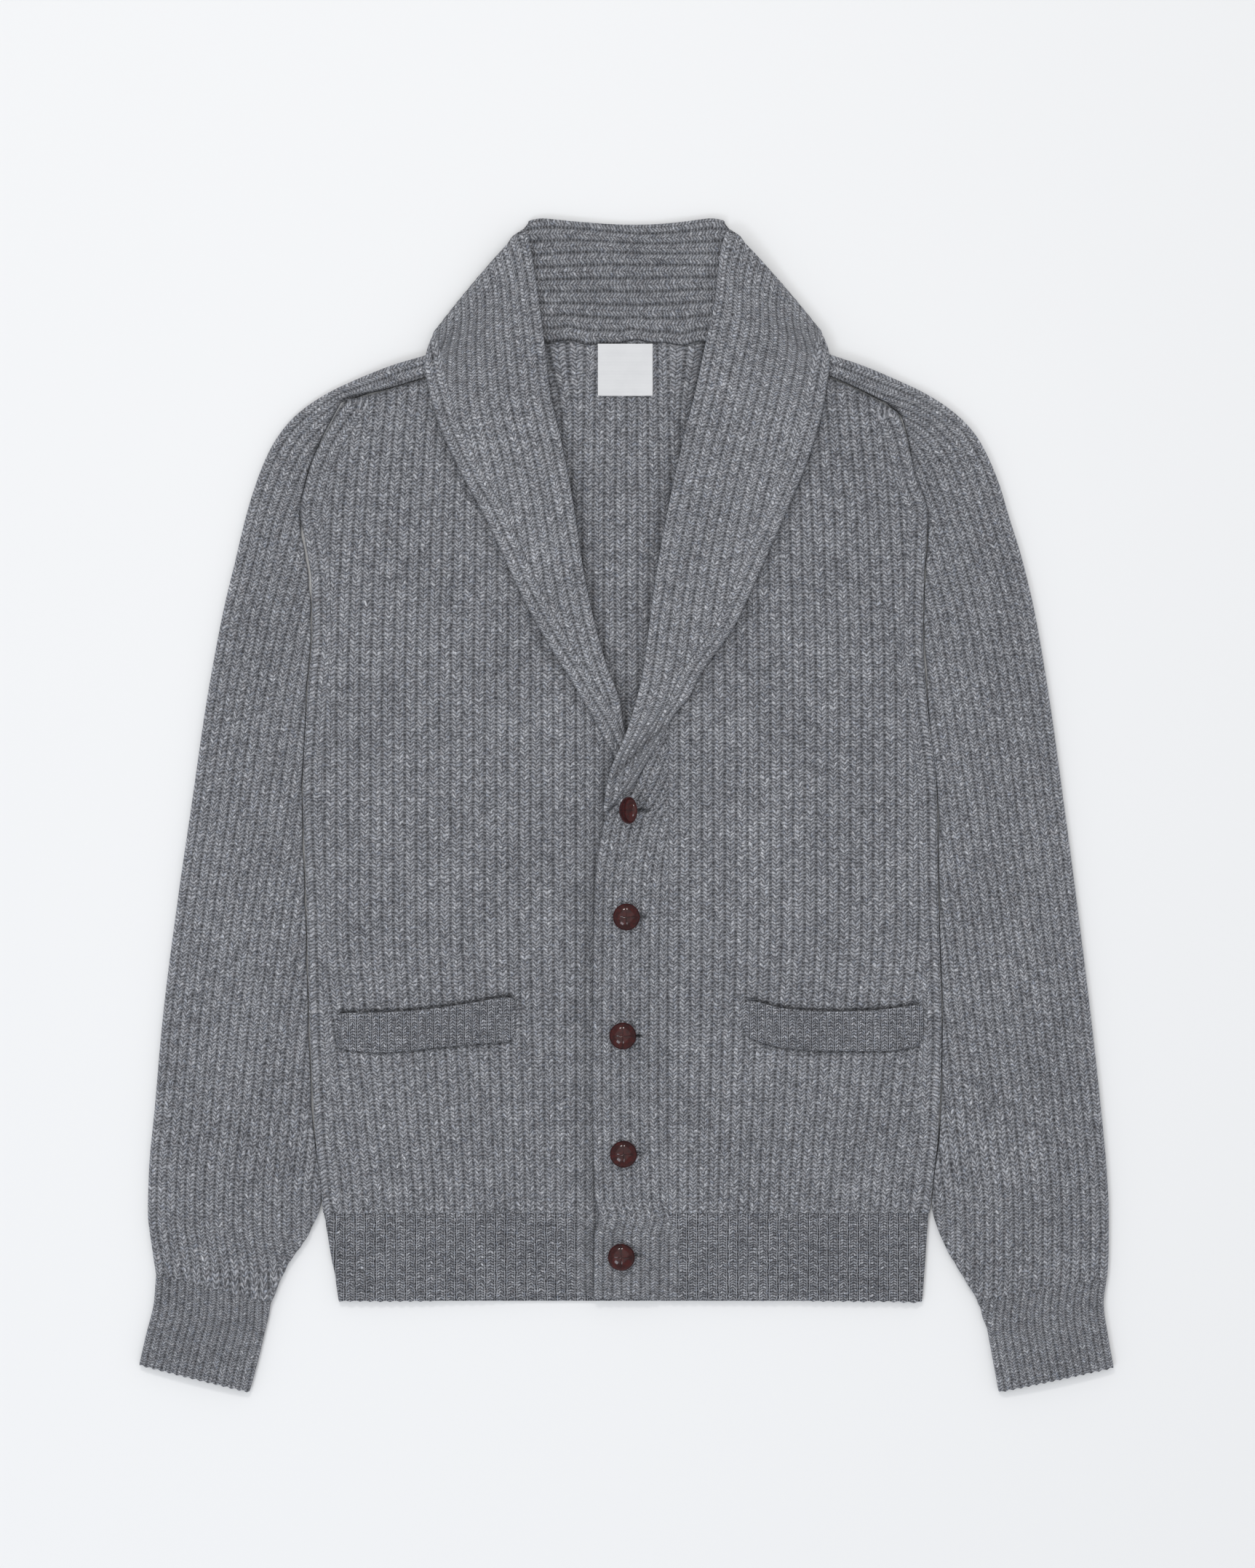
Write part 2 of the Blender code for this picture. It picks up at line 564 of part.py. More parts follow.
def tube_section(row):
    """Middle points round a flattened sleeve, from its front inner end over its outer edge to its back."""
    outer = np.array([row.outer_x, row.outer_y])
    inner = np.array([row.inner_x, row.inner_y])
    width = np.linalg.norm(inner - outer)
    way = (inner - outer) / width
    radius = (LAYER + 0.3 * row.crown) / 2
    seam_radius = (FRONT_Z - BACK_Z) / 2 + 0.35 * row.closed
    turn = WALL / 2 + radius
    seam_turn = width - WALL / 2 - seam_radius
    section = []

    def seam_side(angles, height):
        for k, angle in enumerate(angles):
            open_s = seam_turn + (width - seam_turn) * k / (len(angles) - 1)
            closed_s = seam_turn + seam_radius * math.cos(angle)
            closed_z = BACK_Z + seam_radius + seam_radius * math.sin(angle)
            section.append(
                (open_s + (closed_s - open_s) * row.closed, height + (closed_z - height) * row.closed)
            )

    top = FRONT_Z
    seam_side([math.pi / 2, math.pi / 4, 0.16], top)
    section.reverse()
    for share in (0.84, 0.66, 0.48, 0.3, 0.14):
        s = turn + (seam_turn - turn) * share
        base = top + (2 * radius - LAYER) * (1 - share) + 2 * (seam_radius - LAYER / 2) * share * row.closed
        section.append((s, base + row.crown * math.sin(math.pi * share) ** 0.8))
    for angle in np.linspace(math.pi / 2, 1.5 * math.pi, 5):
        section.append((turn + radius * math.cos(angle), BACK_Z + radius + radius * math.sin(angle)))
    for share in (0.35, 0.7):
        section.append((turn + (seam_turn - turn) * share, BACK_Z))
    seam_side([-math.pi / 2, -math.pi / 4, -0.16], BACK_Z)
    points = []
    for s, z in section:
        x, y = outer + way * s
        points.append((x, y, z + float(lift(x, y))))
    return points


def sleeve(name, table, count, colour):
    rows = [SleeveRow(*values) for values in along([tuple(r) for r in table], np.linspace(0, 1, count))]
    grid = np.array([tube_section(row) for row in rows])
    return wall(name, grid, colour)


def collar_section(row, height):
    """Middle points across the collar: up the hidden stand, round the roll and down the fall."""
    roll = np.array([row.roll_x, row.roll_y])
    edge = np.array([row.edge_x, row.edge_y])
    width = np.linalg.norm(edge - roll)
    way = (edge - roll) / width
    radius = row.roll / 2
    turn = WALL / 2 + radius
    stand_z = float(front_height(row.roll_x, row.roll_y)) + row.rise
    top = stand_z + row.roll
    neck = roll + way * row.stand
    neck_z = float(height(neck[0], neck[1]))
    flat = min(turn + 2.0, row.stand * 0.5)
    section = [(row.stand, neck_z)]
    for share in (0.55, 0.0):
        s = flat + (row.stand - flat) * share
        section.append((s, stand_z + (neck_z - stand_z) * float(ease(s, flat, row.stand))))
    for angle in np.linspace(-0.5 * math.pi, -1.5 * math.pi, 6):
        section.append((turn + radius * math.cos(angle), stand_z + radius + radius * math.sin(angle)))
    for share in (0.12, 0.34, 0.6, 0.84, 1.0):
        s = turn + (width - turn) * share
        x, y = roll + way * s
        lying = float(height(x, y, FALL_LEAD)) + LAYER
        section.append((s, top + (lying - top) * float(ease(share, 0.05, 0.62))))
    return [(*(roll + way * s), z) for s, z in section]


def collar_front(name, table, count, height, outer_drop):
    """One side of the collar, from its tip below the opening to the fold at the neck's side."""
    rows = [CollarRow(*values) for values in along([tuple(r) for r in table], np.linspace(0, 1, count))]
    grid = np.array([collar_section(row, height) for row in rows])
    fall = np.linspace(0, 1, 6)
    for back, share in ((1, 1.0), (2, 0.15)):
        grid[-back, -6:, 2] -= outer_drop * share * ease(fall, 0.1, 0.6)
    return wall(name, grid, KNIT_GREY)


def collar_back():
    """Behind the neck: the stand goes up from the neck seam and folds into the fall on the surface."""
    rows = 4
    stand_levels = np.linspace(NECK_SEAM, COLLAR_TOP - 6.0, rows)
    radius = LAYER / 2
    profile = [(y, FRONT_Z, "stand_half") for y in stand_levels]
    for angle in np.linspace(math.pi / 2, -math.pi / 2, 5)[1:-1]:
        y = COLLAR_TOP - WALL / 2 - radius + radius * math.cos(angle)
        profile.append((y, BACK_Z + radius + radius * math.sin(angle), "stand_half"))
    profile += [(y, BACK_Z, "fall_half") for y in (COLLAR_TOP - 5.0, 396.0, 364.0, 338.0, 322.0, 312.0)]
    shares = np.linspace(-1, 1, 11)
    grid = []
    for y, z, name in profile:
        half = float(at_level(COLLAR_BACK, name, np.clip(y, COLLAR_BACK[0].y, COLLAR_BACK[-1].y))[0])
        grid.append([(half * share, y, z) for share in shares])
    return wall("collar_back", np.array(grid), KNIT_GREY)


def welt(name, table, height):
    """A pocket welt lying on its front."""
    knots = column(table, "x")
    values = np.column_stack([column(table, "top"), column(table, "bottom")])
    across = np.concatenate([knots[:2], np.linspace(knots[1], knots[-2], 8)[1:-1], knots[-2:]])
    levels = through(knots, values, across)
    grid = np.zeros((3, len(across), 3))
    for i, share in enumerate((0.0, 0.5, 1.0)):
        grid[i, :, 0] = across
        grid[i, :, 1] = levels[:, 1] + (levels[:, 0] - levels[:, 1]) * share
    grid[..., 2] = height(grid[..., 0], grid[..., 1]) + LAYER
    return wall(name, grid, RIB_GREY)


def label():
    half = LABEL_WIDTH / 2
    levels = np.linspace(NECK_SEAM - 2.0 - LABEL_HEIGHT, NECK_SEAM - 2.0, 5)
    flat = strip(levels, np.full(5, LABEL_CENTRE_X - half), np.full(5, LABEL_CENTRE_X + half), np.linspace(0, 1, 4))
    above = WALL / 2 + GAP + LABEL_WALL / 2
    grid = raised(flat, lambda x, y: back_height(x, y) + above)
    return wall("neck_label", grid, LABEL_WHITE, thickness=LABEL_WALL)


def button_profile(shank_length):
    """Radius and height from the foot of the shank to the crown, with the head's underside at height 0."""
    points = [
        (0.0, -shank_length),
        (SHANK_RADIUS, -shank_length),
        (SHANK_RADIUS, 0.0),
        (BUTTON_RADIUS * 0.72, 0.35),
        (BUTTON_RADIUS * 0.97, 1.7),
    ]
    for angle in (8, 30, 52, 72):
        a = math.radians(angle)
        points.append((BUTTON_RADIUS * math.cos(a), 1.7 + (BUTTON_HEIGHT - 1.7) * math.sin(a)))
    points.append((0.0, BUTTON_HEIGHT))
    return points


def button(name, row):
    """A domed button on a shank, which stands in its buttonhole just clear of the right band."""
    band_top = float(overlap_height(row.x, row.y)) + WALL / 2
    foot = FRONT_Z + WALL / 2 + GAP
    turn = math.radians(row.turn)
    seat = band_top + SHANK_GAP + BUTTON_RADIUS * math.sin(turn) * 0.97
    steps = 14
    profile = button_profile(1.2 if row.turn else seat - foot)
    points = [(0.0, 0.0, profile[0][1]), (0.0, 0.0, profile[-1][1])]
    for radius, z in profile[1:-1]:
        for k in range(steps):
            a = 2 * math.pi * k / steps
            points.append((radius * math.cos(a), radius * math.sin(a), z))
    points = np.array(points)
    rings = len(profile) - 2
    if row.turn:
        # The head leans to the wearer's right, and its shank still goes straight down through the slot.
        head = points.copy()
        points[:, 0] = head[:, 0] * math.cos(turn) - head[:, 2] * math.sin(turn)
        points[:, 2] = head[:, 0] * math.sin(turn) + head[:, 2] * math.cos(turn)
        first = slice(2, 2 + steps)
        points[first, 0] = head[first, 0]
        points[first, 2] = foot - seat
        points[0] = (0.0, 0.0, foot - seat)
        second = slice(2 + steps, 2 + 2 * steps)
        points[second, 0] = head[second, 0]
        points[second, 2] = head[second, 0] * 0.9 - 0.2
    faces = []
    for k in range(steps):
        n = (k + 1) % steps
        faces.append([0, 2 + n, 2 + k])
        last = 2 + (rings - 1) * steps
        faces.append([1, last + k, last + n])
        for ring in range(rings - 1):
            low = 2 + ring * steps
            high = low + steps
            faces.append([low + k, low + n, high + n, high + k])
    made = add_mesh(name, points, faces, BUTTON_BROWN, 0.25)
    made.location = (row.x * MM, row.y * MM, seat * MM)
    return made


def clear_scene():
    for thing in list(bpy.data.objects):
        bpy.data.objects.remove(thing, do_unlink=True)


def build():
    clear_scene()
    back()
    hem_back()
    front("front_right", "right", neck_line(COLLAR_RIGHT, NECK_GAP), BAND_RIGHT_SEAM, BAND_RIGHT_TOP, front_height)
    front("front_left", "left", neck_line(COLLAR_LEFT, NECK_GAP), BAND_LEFT_SEAM + GAP, BAND_LEFT_TOP, front_height)
    hem_front("hem_right", "right", BAND_RIGHT_SEAM, front_height)
    hem_front("hem_left", "left", BAND_LEFT_SEAM, front_height)
    band_right()
    band_left()
    sleeve("sleeve_right", SLEEVE_RIGHT, 27, KNIT_GREY)
    sleeve("sleeve_left", SLEEVE_LEFT, 27, KNIT_GREY)
    sleeve("cuff_right", CUFF_RIGHT, 5, RIB_GREY)
    sleeve("cuff_left", CUFF_LEFT, 5, RIB_GREY)
    collar_back()
    collar_front("collar_right", COLLAR_RIGHT, 21, front_height, 4.0)
    collar_front("collar_left", COLLAR_LEFT, 25, overlap_height, 4.0)
    welt("pocket_welt_right", WELT_RIGHT, front_height)
    welt("pocket_welt_left", WELT_LEFT, front_height)
    label()
    for number, row in enumerate(BUTTONS, start=1):
        button(f"button_{number}", row)


build()
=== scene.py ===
"""Looks for the shawl collar cardigan: thin knitted shells on the solids' forms, with ribs and buttons.

Lengths in this file are millimetres, except for the lights and the camera, and the meshes are in metres.
X runs to the wearer's left, Y from the hem to the collar and Z up out of the surface. The tables of sizes
are the solids' own. Every shell is a grid of points on the middle surface of its cloth. Its outer face
carries the ribs as relief, and the map named Stitch gives each point its rib count and its course count,
from which the material draws the stitches.
"""

import math
from collections import namedtuple

import bpy
import mathutils
import numpy as np
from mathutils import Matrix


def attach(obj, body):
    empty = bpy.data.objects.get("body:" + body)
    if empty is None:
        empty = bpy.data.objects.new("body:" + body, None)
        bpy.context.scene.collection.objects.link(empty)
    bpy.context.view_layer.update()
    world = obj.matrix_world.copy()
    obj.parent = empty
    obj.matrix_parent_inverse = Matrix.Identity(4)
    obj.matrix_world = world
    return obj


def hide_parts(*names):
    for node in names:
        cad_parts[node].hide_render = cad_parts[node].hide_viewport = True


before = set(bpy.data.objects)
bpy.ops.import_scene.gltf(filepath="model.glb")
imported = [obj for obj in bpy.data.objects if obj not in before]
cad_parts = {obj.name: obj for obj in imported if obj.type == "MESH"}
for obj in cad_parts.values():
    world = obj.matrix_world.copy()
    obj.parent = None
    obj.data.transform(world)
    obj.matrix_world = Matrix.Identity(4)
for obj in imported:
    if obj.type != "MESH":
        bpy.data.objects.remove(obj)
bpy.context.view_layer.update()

MM = 0.001
FULL_TURN = 2 * math.pi


def rows_of(kind, *rows):
    """A table: rows whose columns are named by kind."""
    return [kind(*row) for row in rows]


# The cloth and its layers.
WALL = 2.6
GAP = 0.3
LAYER = WALL + GAP
BACK_Z = WALL / 2
FRONT_Z = BACK_Z + LAYER
SEAM_GAP = 1.0
NECK_GAP = 2.2

# Levels along the body.
HEM_BOTTOM = -361.0
HEM_TOP = -296.5
NECK_SEAM = 337.5
COLLAR_TOP = 427.0
UNDERARM = 150.0
ARMHOLE_OPEN = 195.0
BACK_ARMHOLE_OPEN = 208.0

# Bands at the front opening.
BAND_LEFT_SEAM = 30.0
BAND_LEFT_SEAM_AT_HEM = 37.5
BAND_RIGHT_SEAM = -36.6
BAND_RIGHT_EDGE = 8.5
BAND_LEFT_TOP = 72.0
BAND_RIGHT_TOP = 100.0
BAND_TOP_WIDTH = 2.2
OVERLAP_STARTS = 12.5

# The body's side edge: the front turns down round the back's edge.
BACK_INSET = 6.0
SideFold = namedtuple("SideFold", "inset drop")
SIDE_FOLD = rows_of(
    SideFold,
    (1.3, 2.5),
    (1.8, 1.3),
    (3.4, 0.35),
    (7.0, 0.0),
)

# Body and hem sides, where the body lies against the sleeves.
BodySide = namedtuple("BodySide", "y right_x left_x")
BODY_SIDE = rows_of(
    BodySide,
    (-361, -208.8, 215.0),
    (-335, -213.6, 216.8),
    (-313, -217.0, 218.4),
    (-297, -220.5, 220.5),
    (-238, -226.5, 226.8),
    (-170, -230.0, 229.5),
    (-55, -233.2, 226.8),
    (10, -235.3, 225.8),
    (80, -232.1, 218.4),
    (126, -228.6, 215.7),
    (160, -229.0, 216.4),
    (190, -232.5, 217.6),
    (214, -236.5, 218.4),
)

# The armhole seam, up from the body side to the corner where the saddle strap begins.
SeamPoint = namedtuple("SeamPoint", "right_x right_y left_x left_y")
ARMHOLE = rows_of(
    SeamPoint,
    (-236.5, 214, 218.4, 214),
    (-232.7, 233, 210.0, 237),
    (-227.0, 252, 205.8, 256),
    (-217.0, 272, 202.5, 270),
    (-201.5, 295, 196.0, 286),
)
# The saddle seam, from that corner along the strap to the neck point.
SADDLE = rows_of(
    SeamPoint,
    (-201.5, 295.0, 196.0, 286.0),
    (-180.0, 299.5, 182.5, 293.8),
    (-166.4, 303.7, 165.9, 302.1),
    (-147.3, 309.5, 149.5, 309.5),
    (-120.0, 318.0, 120.0, 318.5),
    (-101.0, 324.0, 101.0, 325.0),
)
# The back's shoulder edge goes on from there to the neck seam.
BACK_NECK_CORNER = 80.0

# One row across the sleeve: its outer edge, its inner edge, how far its section is closed, its crown.
SleeveRow = namedtuple("SleeveRow", "outer_x outer_y inner_x inner_y closed crown")
SLEEVE_RIGHT = rows_of(
    SleeveRow,
    (-343.0, -340, -258.5, -362, 1.0, 2.0),
    (-345.5, -324, -246.0, -334, 1.0, 2.5),
    (-348.8, -295, -231.0, -312, 1.0, 3.0),
    (-348.0, -265, -221.6, -285, 1.0, 3.5),
    (-344.0, -222, -228.2, -230, 1.0, 3.5),
    (-338.0, -155, -231.2, -160, 1.0, 3.5),
    (-327.5, -72, -233.6, -75, 1.0, 3.5),
    (-316.5, 4, -236.1, 2, 1.0, 3.5),
    (-306.0, 76, -233.4, 72, 1.0, 3.5),
    (-294.0, 141, -229.8, 136, 1.0, 3.0),
    (-284.5, 181, -232.2, 172, 0.8, 2.5),
    (-277.0, 212, -237.8, 208, 0.3, 2.0),
    (-267.0, 243, -234.5, 232, 0.0, 1.6),
    (-256.5, 265, -228.1, 254, 0.0, 1.4),
    (-241.0, 284, -218.3, 274, 0.0, 1.2),
    (-216.0, 300.8, -203.0, 297.2, 0.0, 1.0),
    (-194.5, 311.2, -184.0, 300.6, 0.0, 0.7),
    (-167.5, 321.5, -166.4, 305.0, 0.0, 0.3),
    (-147.0, 327.5, -147.3, 311.0, 0.0, 0.0),
    (-108.0, 342.0, -104.0, 325.4, 0.0, 0.0),
)
SLEEVE_LEFT = rows_of(
    SleeveRow,
    (350.5, -343, 255.5, -360, 1.0, 2.0),
    (351.5, -324, 243.5, -341, 1.0, 2.5),
    (351.6, -296, 229.5, -316, 1.0, 3.0),
    (350.0, -265, 222.0, -290, 1.0, 3.5),
    (346.0, -222, 228.4, -230, 1.0, 3.5),
    (338.7, -155, 229.9, -160, 1.0, 3.5),
    (328.5, -72, 227.8, -75, 1.0, 3.5),
    (318.5, 4, 226.7, 2, 1.0, 3.5),
    (308.5, 76, 219.9, 72, 1.0, 3.5),
    (297.5, 141, 216.8, 136, 1.0, 3.0),
    (288.0, 181, 217.8, 172, 0.8, 2.5),
    (279.0, 210, 219.8, 204, 0.3, 2.0),
    (272.5, 232, 216.8, 223, 0.0, 1.7),
    (265.0, 251, 209.5, 243, 0.0, 1.5),
    (255.0, 269, 206.4, 260, 0.0, 1.3),
    (240.0, 285, 203.2, 274, 0.0, 1.2),
    (216.8, 300.5, 197.4, 288.6, 0.0, 1.0),
    (194.5, 311.1, 183.0, 295.8, 0.0, 0.7),
    (170.0, 321.0, 166.0, 304.2, 0.0, 0.3),
    (149.0, 328.0, 149.8, 311.4, 0.0, 0.0),
    (108.0, 343.0, 104.0, 326.4, 0.0, 0.0),
)
CUFF_RIGHT = rows_of(
    SleeveRow,
    (-342.9, -340.5, -258.7, -362.5, 1.0, 2.0),
    (-344.5, -361.0, -263.0, -380.0, 1.0, 1.8),
    (-350.5, -386.0, -268.5, -403.0, 1.0, 1.6),
    (-355.3, -407.0, -274.8, -427.0, 1.0, 1.4),
)
CUFF_LEFT = rows_of(
    SleeveRow,
    (350.3, -343.5, 255.9, -360.6, 1.0, 2.0),
    (348.0, -362.0, 261.5, -378.0, 1.0, 1.8),
    (351.2, -386.0, 266.5, -401.0, 1.0, 1.6),
    (355.3, -409.0, 271.3, -427.0, 1.0, 1.4),
)

# One row across the collar: the rolled edge, the free edge of the fall, the width of the stand hidden
# below it, how far the stand is raised at the roll by what it crosses, and how high the roll stands.
CollarRow = namedtuple("CollarRow", "roll_x roll_y edge_x edge_y stand rise roll")
COLLAR_RIGHT = rows_of(
    CollarRow,
    (2.5, 46, -6.5, 31, 9, 0.0, 2.9),
    (-1.0, 56, -12.0, 41, 11, 0.0, 2.9),
    (-4.0, 76, -28.5, 71, 15, 0.0, 3.4),
    (-12.7, 99, -40.5, 91, 17, 0.0, 4.2),
    (-21.0, 127, -57.5, 118, 21, 0.0, 4.8),
    (-30.0, 168, -77.0, 154, 27, 0.0, 5.4),
    (-38.7, 224, -101.0, 206, 36, 0.0, 5.8),
    (-46.5, 264, -120.0, 241, 42, 0.0, 5.8),
    (-54.5, 299, -137.5, 280, 46, 0.0, 5.6),
    (-59.0, 337, -144.5, 306, 42, 0.0, 5.2),
    (-63.0, 366, -147.0, 319, 30, 0.0, 5.0),
    (-68.0, 398, -147.5, 327, 20, 0.0, 4.4),
    (-74.5, 420, -145.0, 337, 14, 0.0, 3.4),
)
COLLAR_LEFT = rows_of(
    CollarRow,
    (-17.5, -6, -4.5, 3, 8, 2.9, 2.9),
    (-16.3, 4, 7.0, 18, 14, 3.4, 3.2),
    (-14.6, 14, 18.0, 37, 20, 5.2, 3.4),
    (-11.5, 26, 29.0, 56, 26, 6.3, 3.6),
    (-2.5, 47, 35.0, 66, 24, 6.3, 3.6),
    (5.3, 72, 44.5, 77, 22, 5.4, 3.6),
    (11.0, 95, 55.0, 97, 24, 1.4, 4.2),
    (15.8, 130, 78.0, 129, 32, 0.0, 4.8),
    (21.0, 168, 94.0, 163, 38, 0.0, 5.4),
    (31.3, 224, 117.0, 215, 45, 0.0, 5.8),
    (40.5, 265, 132.0, 251, 48, 0.0, 5.8),
    (49.0, 299, 142.5, 287, 50, 0.0, 5.6),
    (57.0, 337, 146.5, 310, 42, 0.0, 5.2),
    (63.5, 366, 148.5, 321, 30, 0.0, 5.0),
    (67.5, 398, 149.0, 329, 20, 0.0, 4.4),
    (74.5, 420, 146.5, 338, 14, 0.0, 3.4),
)
# Behind the neck: half widths of the stand, which shows, and of the fall folded down behind it.
CollarBackRow = namedtuple("CollarBackRow", "y stand_half fall_half")
COLLAR_BACK = rows_of(
    CollarBackRow,
    (312.0, 86.0, 140.0),
    (322.0, 86.0, 144.0),
    (338.0, 86.0, 141.0),
    (364.0, 84.0, 122.5),
    (396.0, 79.0, 95.0),
    (424.0, 74.0, 75.5),
)
# The shoulders rise onto that hidden fall, from a line that slopes away from the neck. Upper layers start
# first.
LIFT_SLOPE = 0.55
LIFT_START = 190.0
LIFT_FULL = 224.0
FRONT_LEAD = 16.0
FALL_LEAD = 30.0
OVERLAP_LEAD = 0.35

# Pocket welts: top and bottom edges.
WeltRow = namedtuple("WeltRow", "x top bottom")
WELT_RIGHT = rows_of(
    WeltRow,
    (-211.0, -151.5, -173.5),
    (-207.0, -151.0, -177.0),
    (-178.0, -150.5, -179.6),
    (-142.0, -148.0, -176.5),
    (-112.0, -143.5, -173.5),
    (-84.0, -139.5, -171.5),
    (-80.5, -140.5, -168.0),
)
WELT_LEFT = rows_of(
    WeltRow,
    (84.5, -142.5, -165.0),
    (88.5, -142.2, -168.5),
    (114.0, -147.6, -176.0),
    (150.0, -150.0, -178.6),
    (184.0, -148.6, -178.6),
    (211.5, -145.0, -174.8),
    (215.5, -144.5, -171.5),
)

LABEL_WIDTH = 40.0
LABEL_HEIGHT = 38.0
LABEL_CENTRE_X = -0.8
LABEL_WALL = 0.8

# Buttons, from the collar down: centre, and the turn of its face to the wearer's right.
ButtonRow = namedtuple("ButtonRow", "x y turn")
BUTTONS = rows_of(
    ButtonRow,
    (3.2, -3.7, 52.0),
    (0.0, -81.1, 0.0),
    (-2.6, -167.5, 0.0),
    (-2.1, -253.3, 0.0),
    (-3.7, -328.1, 0.0),
)
BUTTON_RADIUS = 9.8
BUTTON_HEIGHT = 6.6
SHANK_RADIUS = 1.8
SHANK_GAP = 0.4

# The left band's free edge, from the hem up to where the collar starts.
BandEdge = namedtuple("BandEdge", "y x")
BAND_LEFT_EDGE = rows_of(
    BandEdge,
    (-361, -23.9),
    (-313, -23.3),
    (-298, -19.8),
    (-287, -22.8),
    (-208, -24.6),
    (-102, -24.0),
    (-55, -22.8),
    (-30, -19.8),
    (-10, -15.6),
)

# How far the hem's lower edge lies above or below its level.
HemEdge = namedtuple("HemEdge", "x rise")
HEM_EDGE_RIGHT = rows_of(
    HemEdge,
    (-225, 0.3),
    (-180, 0.0),
    (-110, 1.6),
    (-45, 4.2),
    (15, 4.4),
)
HEM_EDGE_LEFT = rows_of(
    HemEdge,
    (-30, 2.0),
    (5, 2.4),
    (45, 1.0),
    (130, 0.6),
    (225, -0.8),
)

# Looks of the cloth. A rim's radius rounds a shell's edge, and the rim steps are close grid lines for it.
RIM = 1.3
RIM_STEPS = (0.0, 0.25, 0.7)
STEP_ACROSS = 1.1
BACK_STEP = 1.3
STEP_ALONG = 4.0
# The pieces' usual widths, from which their grids take the number of their columns, and their steps.
FRONT_WIDTH = 190.0
BACK_WIDTH = 440.0
BACK_LENGTH = 640.0
HEM_WIDTH = 185.0
HEM_STEP = 0.95
HEM_BACK_WIDTH = 428.0
HEM_BACK_STEP = 1.0
BAND_LEFT_WIDTH = 54.0
BAND_LEFT_STEP = 0.85
BAND_RIGHT_WIDTH = 45.0
BAND_RIGHT_STEP = 0.95
WELT_WIDTH_STEP = 0.8
WELT_HEIGHT = 28.0
POCKET_STEP = 1.2
BODY_PITCH = 7.8
BODY_COURSE = 2.8
BODY_RELIEF = 1.0
HEM_PITCH = 7.3
HEM_COURSE = 2.0
HEM_RELIEF = 1.2
CUFF_PITCH = 5.8
CUFF_COURSE = 2.0
CUFF_RELIEF = 1.4
CUFF_SHADE = 0.97
CUFF_STEP = 2.6
BAND_PITCH = 6.8
FALL_PITCH = 7.6
FALL_COURSE = 2.65
FALL_RELIEF = 1.15
STAND_PITCH = 9.2
STAND_COURSE = 2.4
STAND_SHADE = 0.84
WELT_PITCH = 5.6
WELT_COURSE = 2.2
BORDER_RIBS = 2
SLEEVE_PITCH = 7.1
# Columns on each half of a sleeve's or cuff's grid, in front and behind.
TUBE_HALF = 104
# How far a shell's outer face stands above its solid's.
PROUD = 0.1
# The sleeves and the body's sides are sewn to each other, so the shells run this far into the solids' gaps.
SEAM_OVERLAP = 0.8
SEAM_RIM = 0.3
# How much wider than its solid the back lies, so that its seams close.
BACK_SPREAD = 1.6
POCKET_LOW = -184.0
POCKET_HIGH = -134.0
SLIT_END = 17.5
CUFF_OVERLAP = 0.8
SLIT_HALF = 1.0
SLIT_DEPTH = 2.4
BUTTON_EDGE = 1.9
BUTTON_SINK = 0.6
BUTTON_STEPS = 72
BUTTON_GROOVE = 0.22
# The rolled edge is this point of a collar section. Each part of the section has this many columns.
ROLL_POINT = 6
STAND_COLUMNS = 40
FALL_COLUMNS = 112
# The fall drops by this much at its end behind the neck.
COLLAR_END_DROP = 4.0
# The stand's top edge dips between its corners, and the collar's side folds bulge between rounded ends.
TOP_DIP = 4.0
CORNER_DROP = 5.5
SIDE_BULGE = 2.0
SIDE_ROUND = 3.2
# How far the shadow beside an overlying edge reaches, and how dark it is.
SHADOW_REACH = 7.0
SHADOW_DEPTH = 0.26
# The seam where the crossing collar is sewn to the turned-over edge of the front, and its stitches' length.
GORGE = [(-10.0, 20.0), (1.5, 32.5), (17.0, 48.0), (29.0, 58.5)]
GORGE_STITCH = 4.2
# The lower end of the crossing collar sinks into the band it grows from.
TIP_SINK = 5.0

# Creases on the sleeves' upper side: where they cross, how far they reach, their width, slope and height.
Crease = namedtuple("Crease", "y right_x left_x reach width slope height")
SLEEVE_CREASES = rows_of(
    Crease,
    (190, -262, 262, 34, 7, -0.9, -0.8),
    (150, -270, 268, 40, 9, -0.6, 0.7),
    (-20, -285, 286, 46, 16, 0.35, -0.7),
    (-110, -292, 292, 44, 14, -0.3, 0.6),
    (-236, -286, 288, 44, 10, 0.25, -0.8),
    (-268, -288, 288, 50, 9, -0.15, 0.9),
)


def through(knots, values, at):
    """Points of a smooth curve with no overshoot through the rows of values, at the rising knots."""
    knots = np.asarray(knots, float)
    values = np.asarray(values, float)
    step = np.diff(knots)[:, None]
    slope = np.diff(values, axis=0) / step
    tangent = np.zeros_like(values)
    total = slope[1:] + slope[:-1]
    same = slope[1:] * slope[:-1] > 0
    tangent[1:-1] = np.where(same, 2 * slope[1:] * slope[:-1] / np.where(same, total, 1), 0)
    tangent[0] = slope[0]
    tangent[-1] = slope[-1]
    row = np.clip(np.searchsorted(knots, at, side="right") - 1, 0, len(knots) - 2)
    size = step[row]
    t = (np.asarray(at, float)[:, None] - knots[row][:, None]) / size
    start = (1 + 2 * t) * (1 - t) ** 2 * values[row] + t * (1 - t) ** 2 * size * tangent[row]
    end = t**2 * (3 - 2 * t) * values[row + 1] + t**2 * (t - 1) * size * tangent[row + 1]
    return start + end


def column(table, name):
    return np.array([getattr(row, name) for row in table], float)


def read(table, name, at, key="y"):
    """A column of a table, read smoothly where its key column has the values at, of any shape."""
    values = through(column(table, key), column(table, name)[:, None], np.ravel(at))
    return values.reshape(np.shape(at))


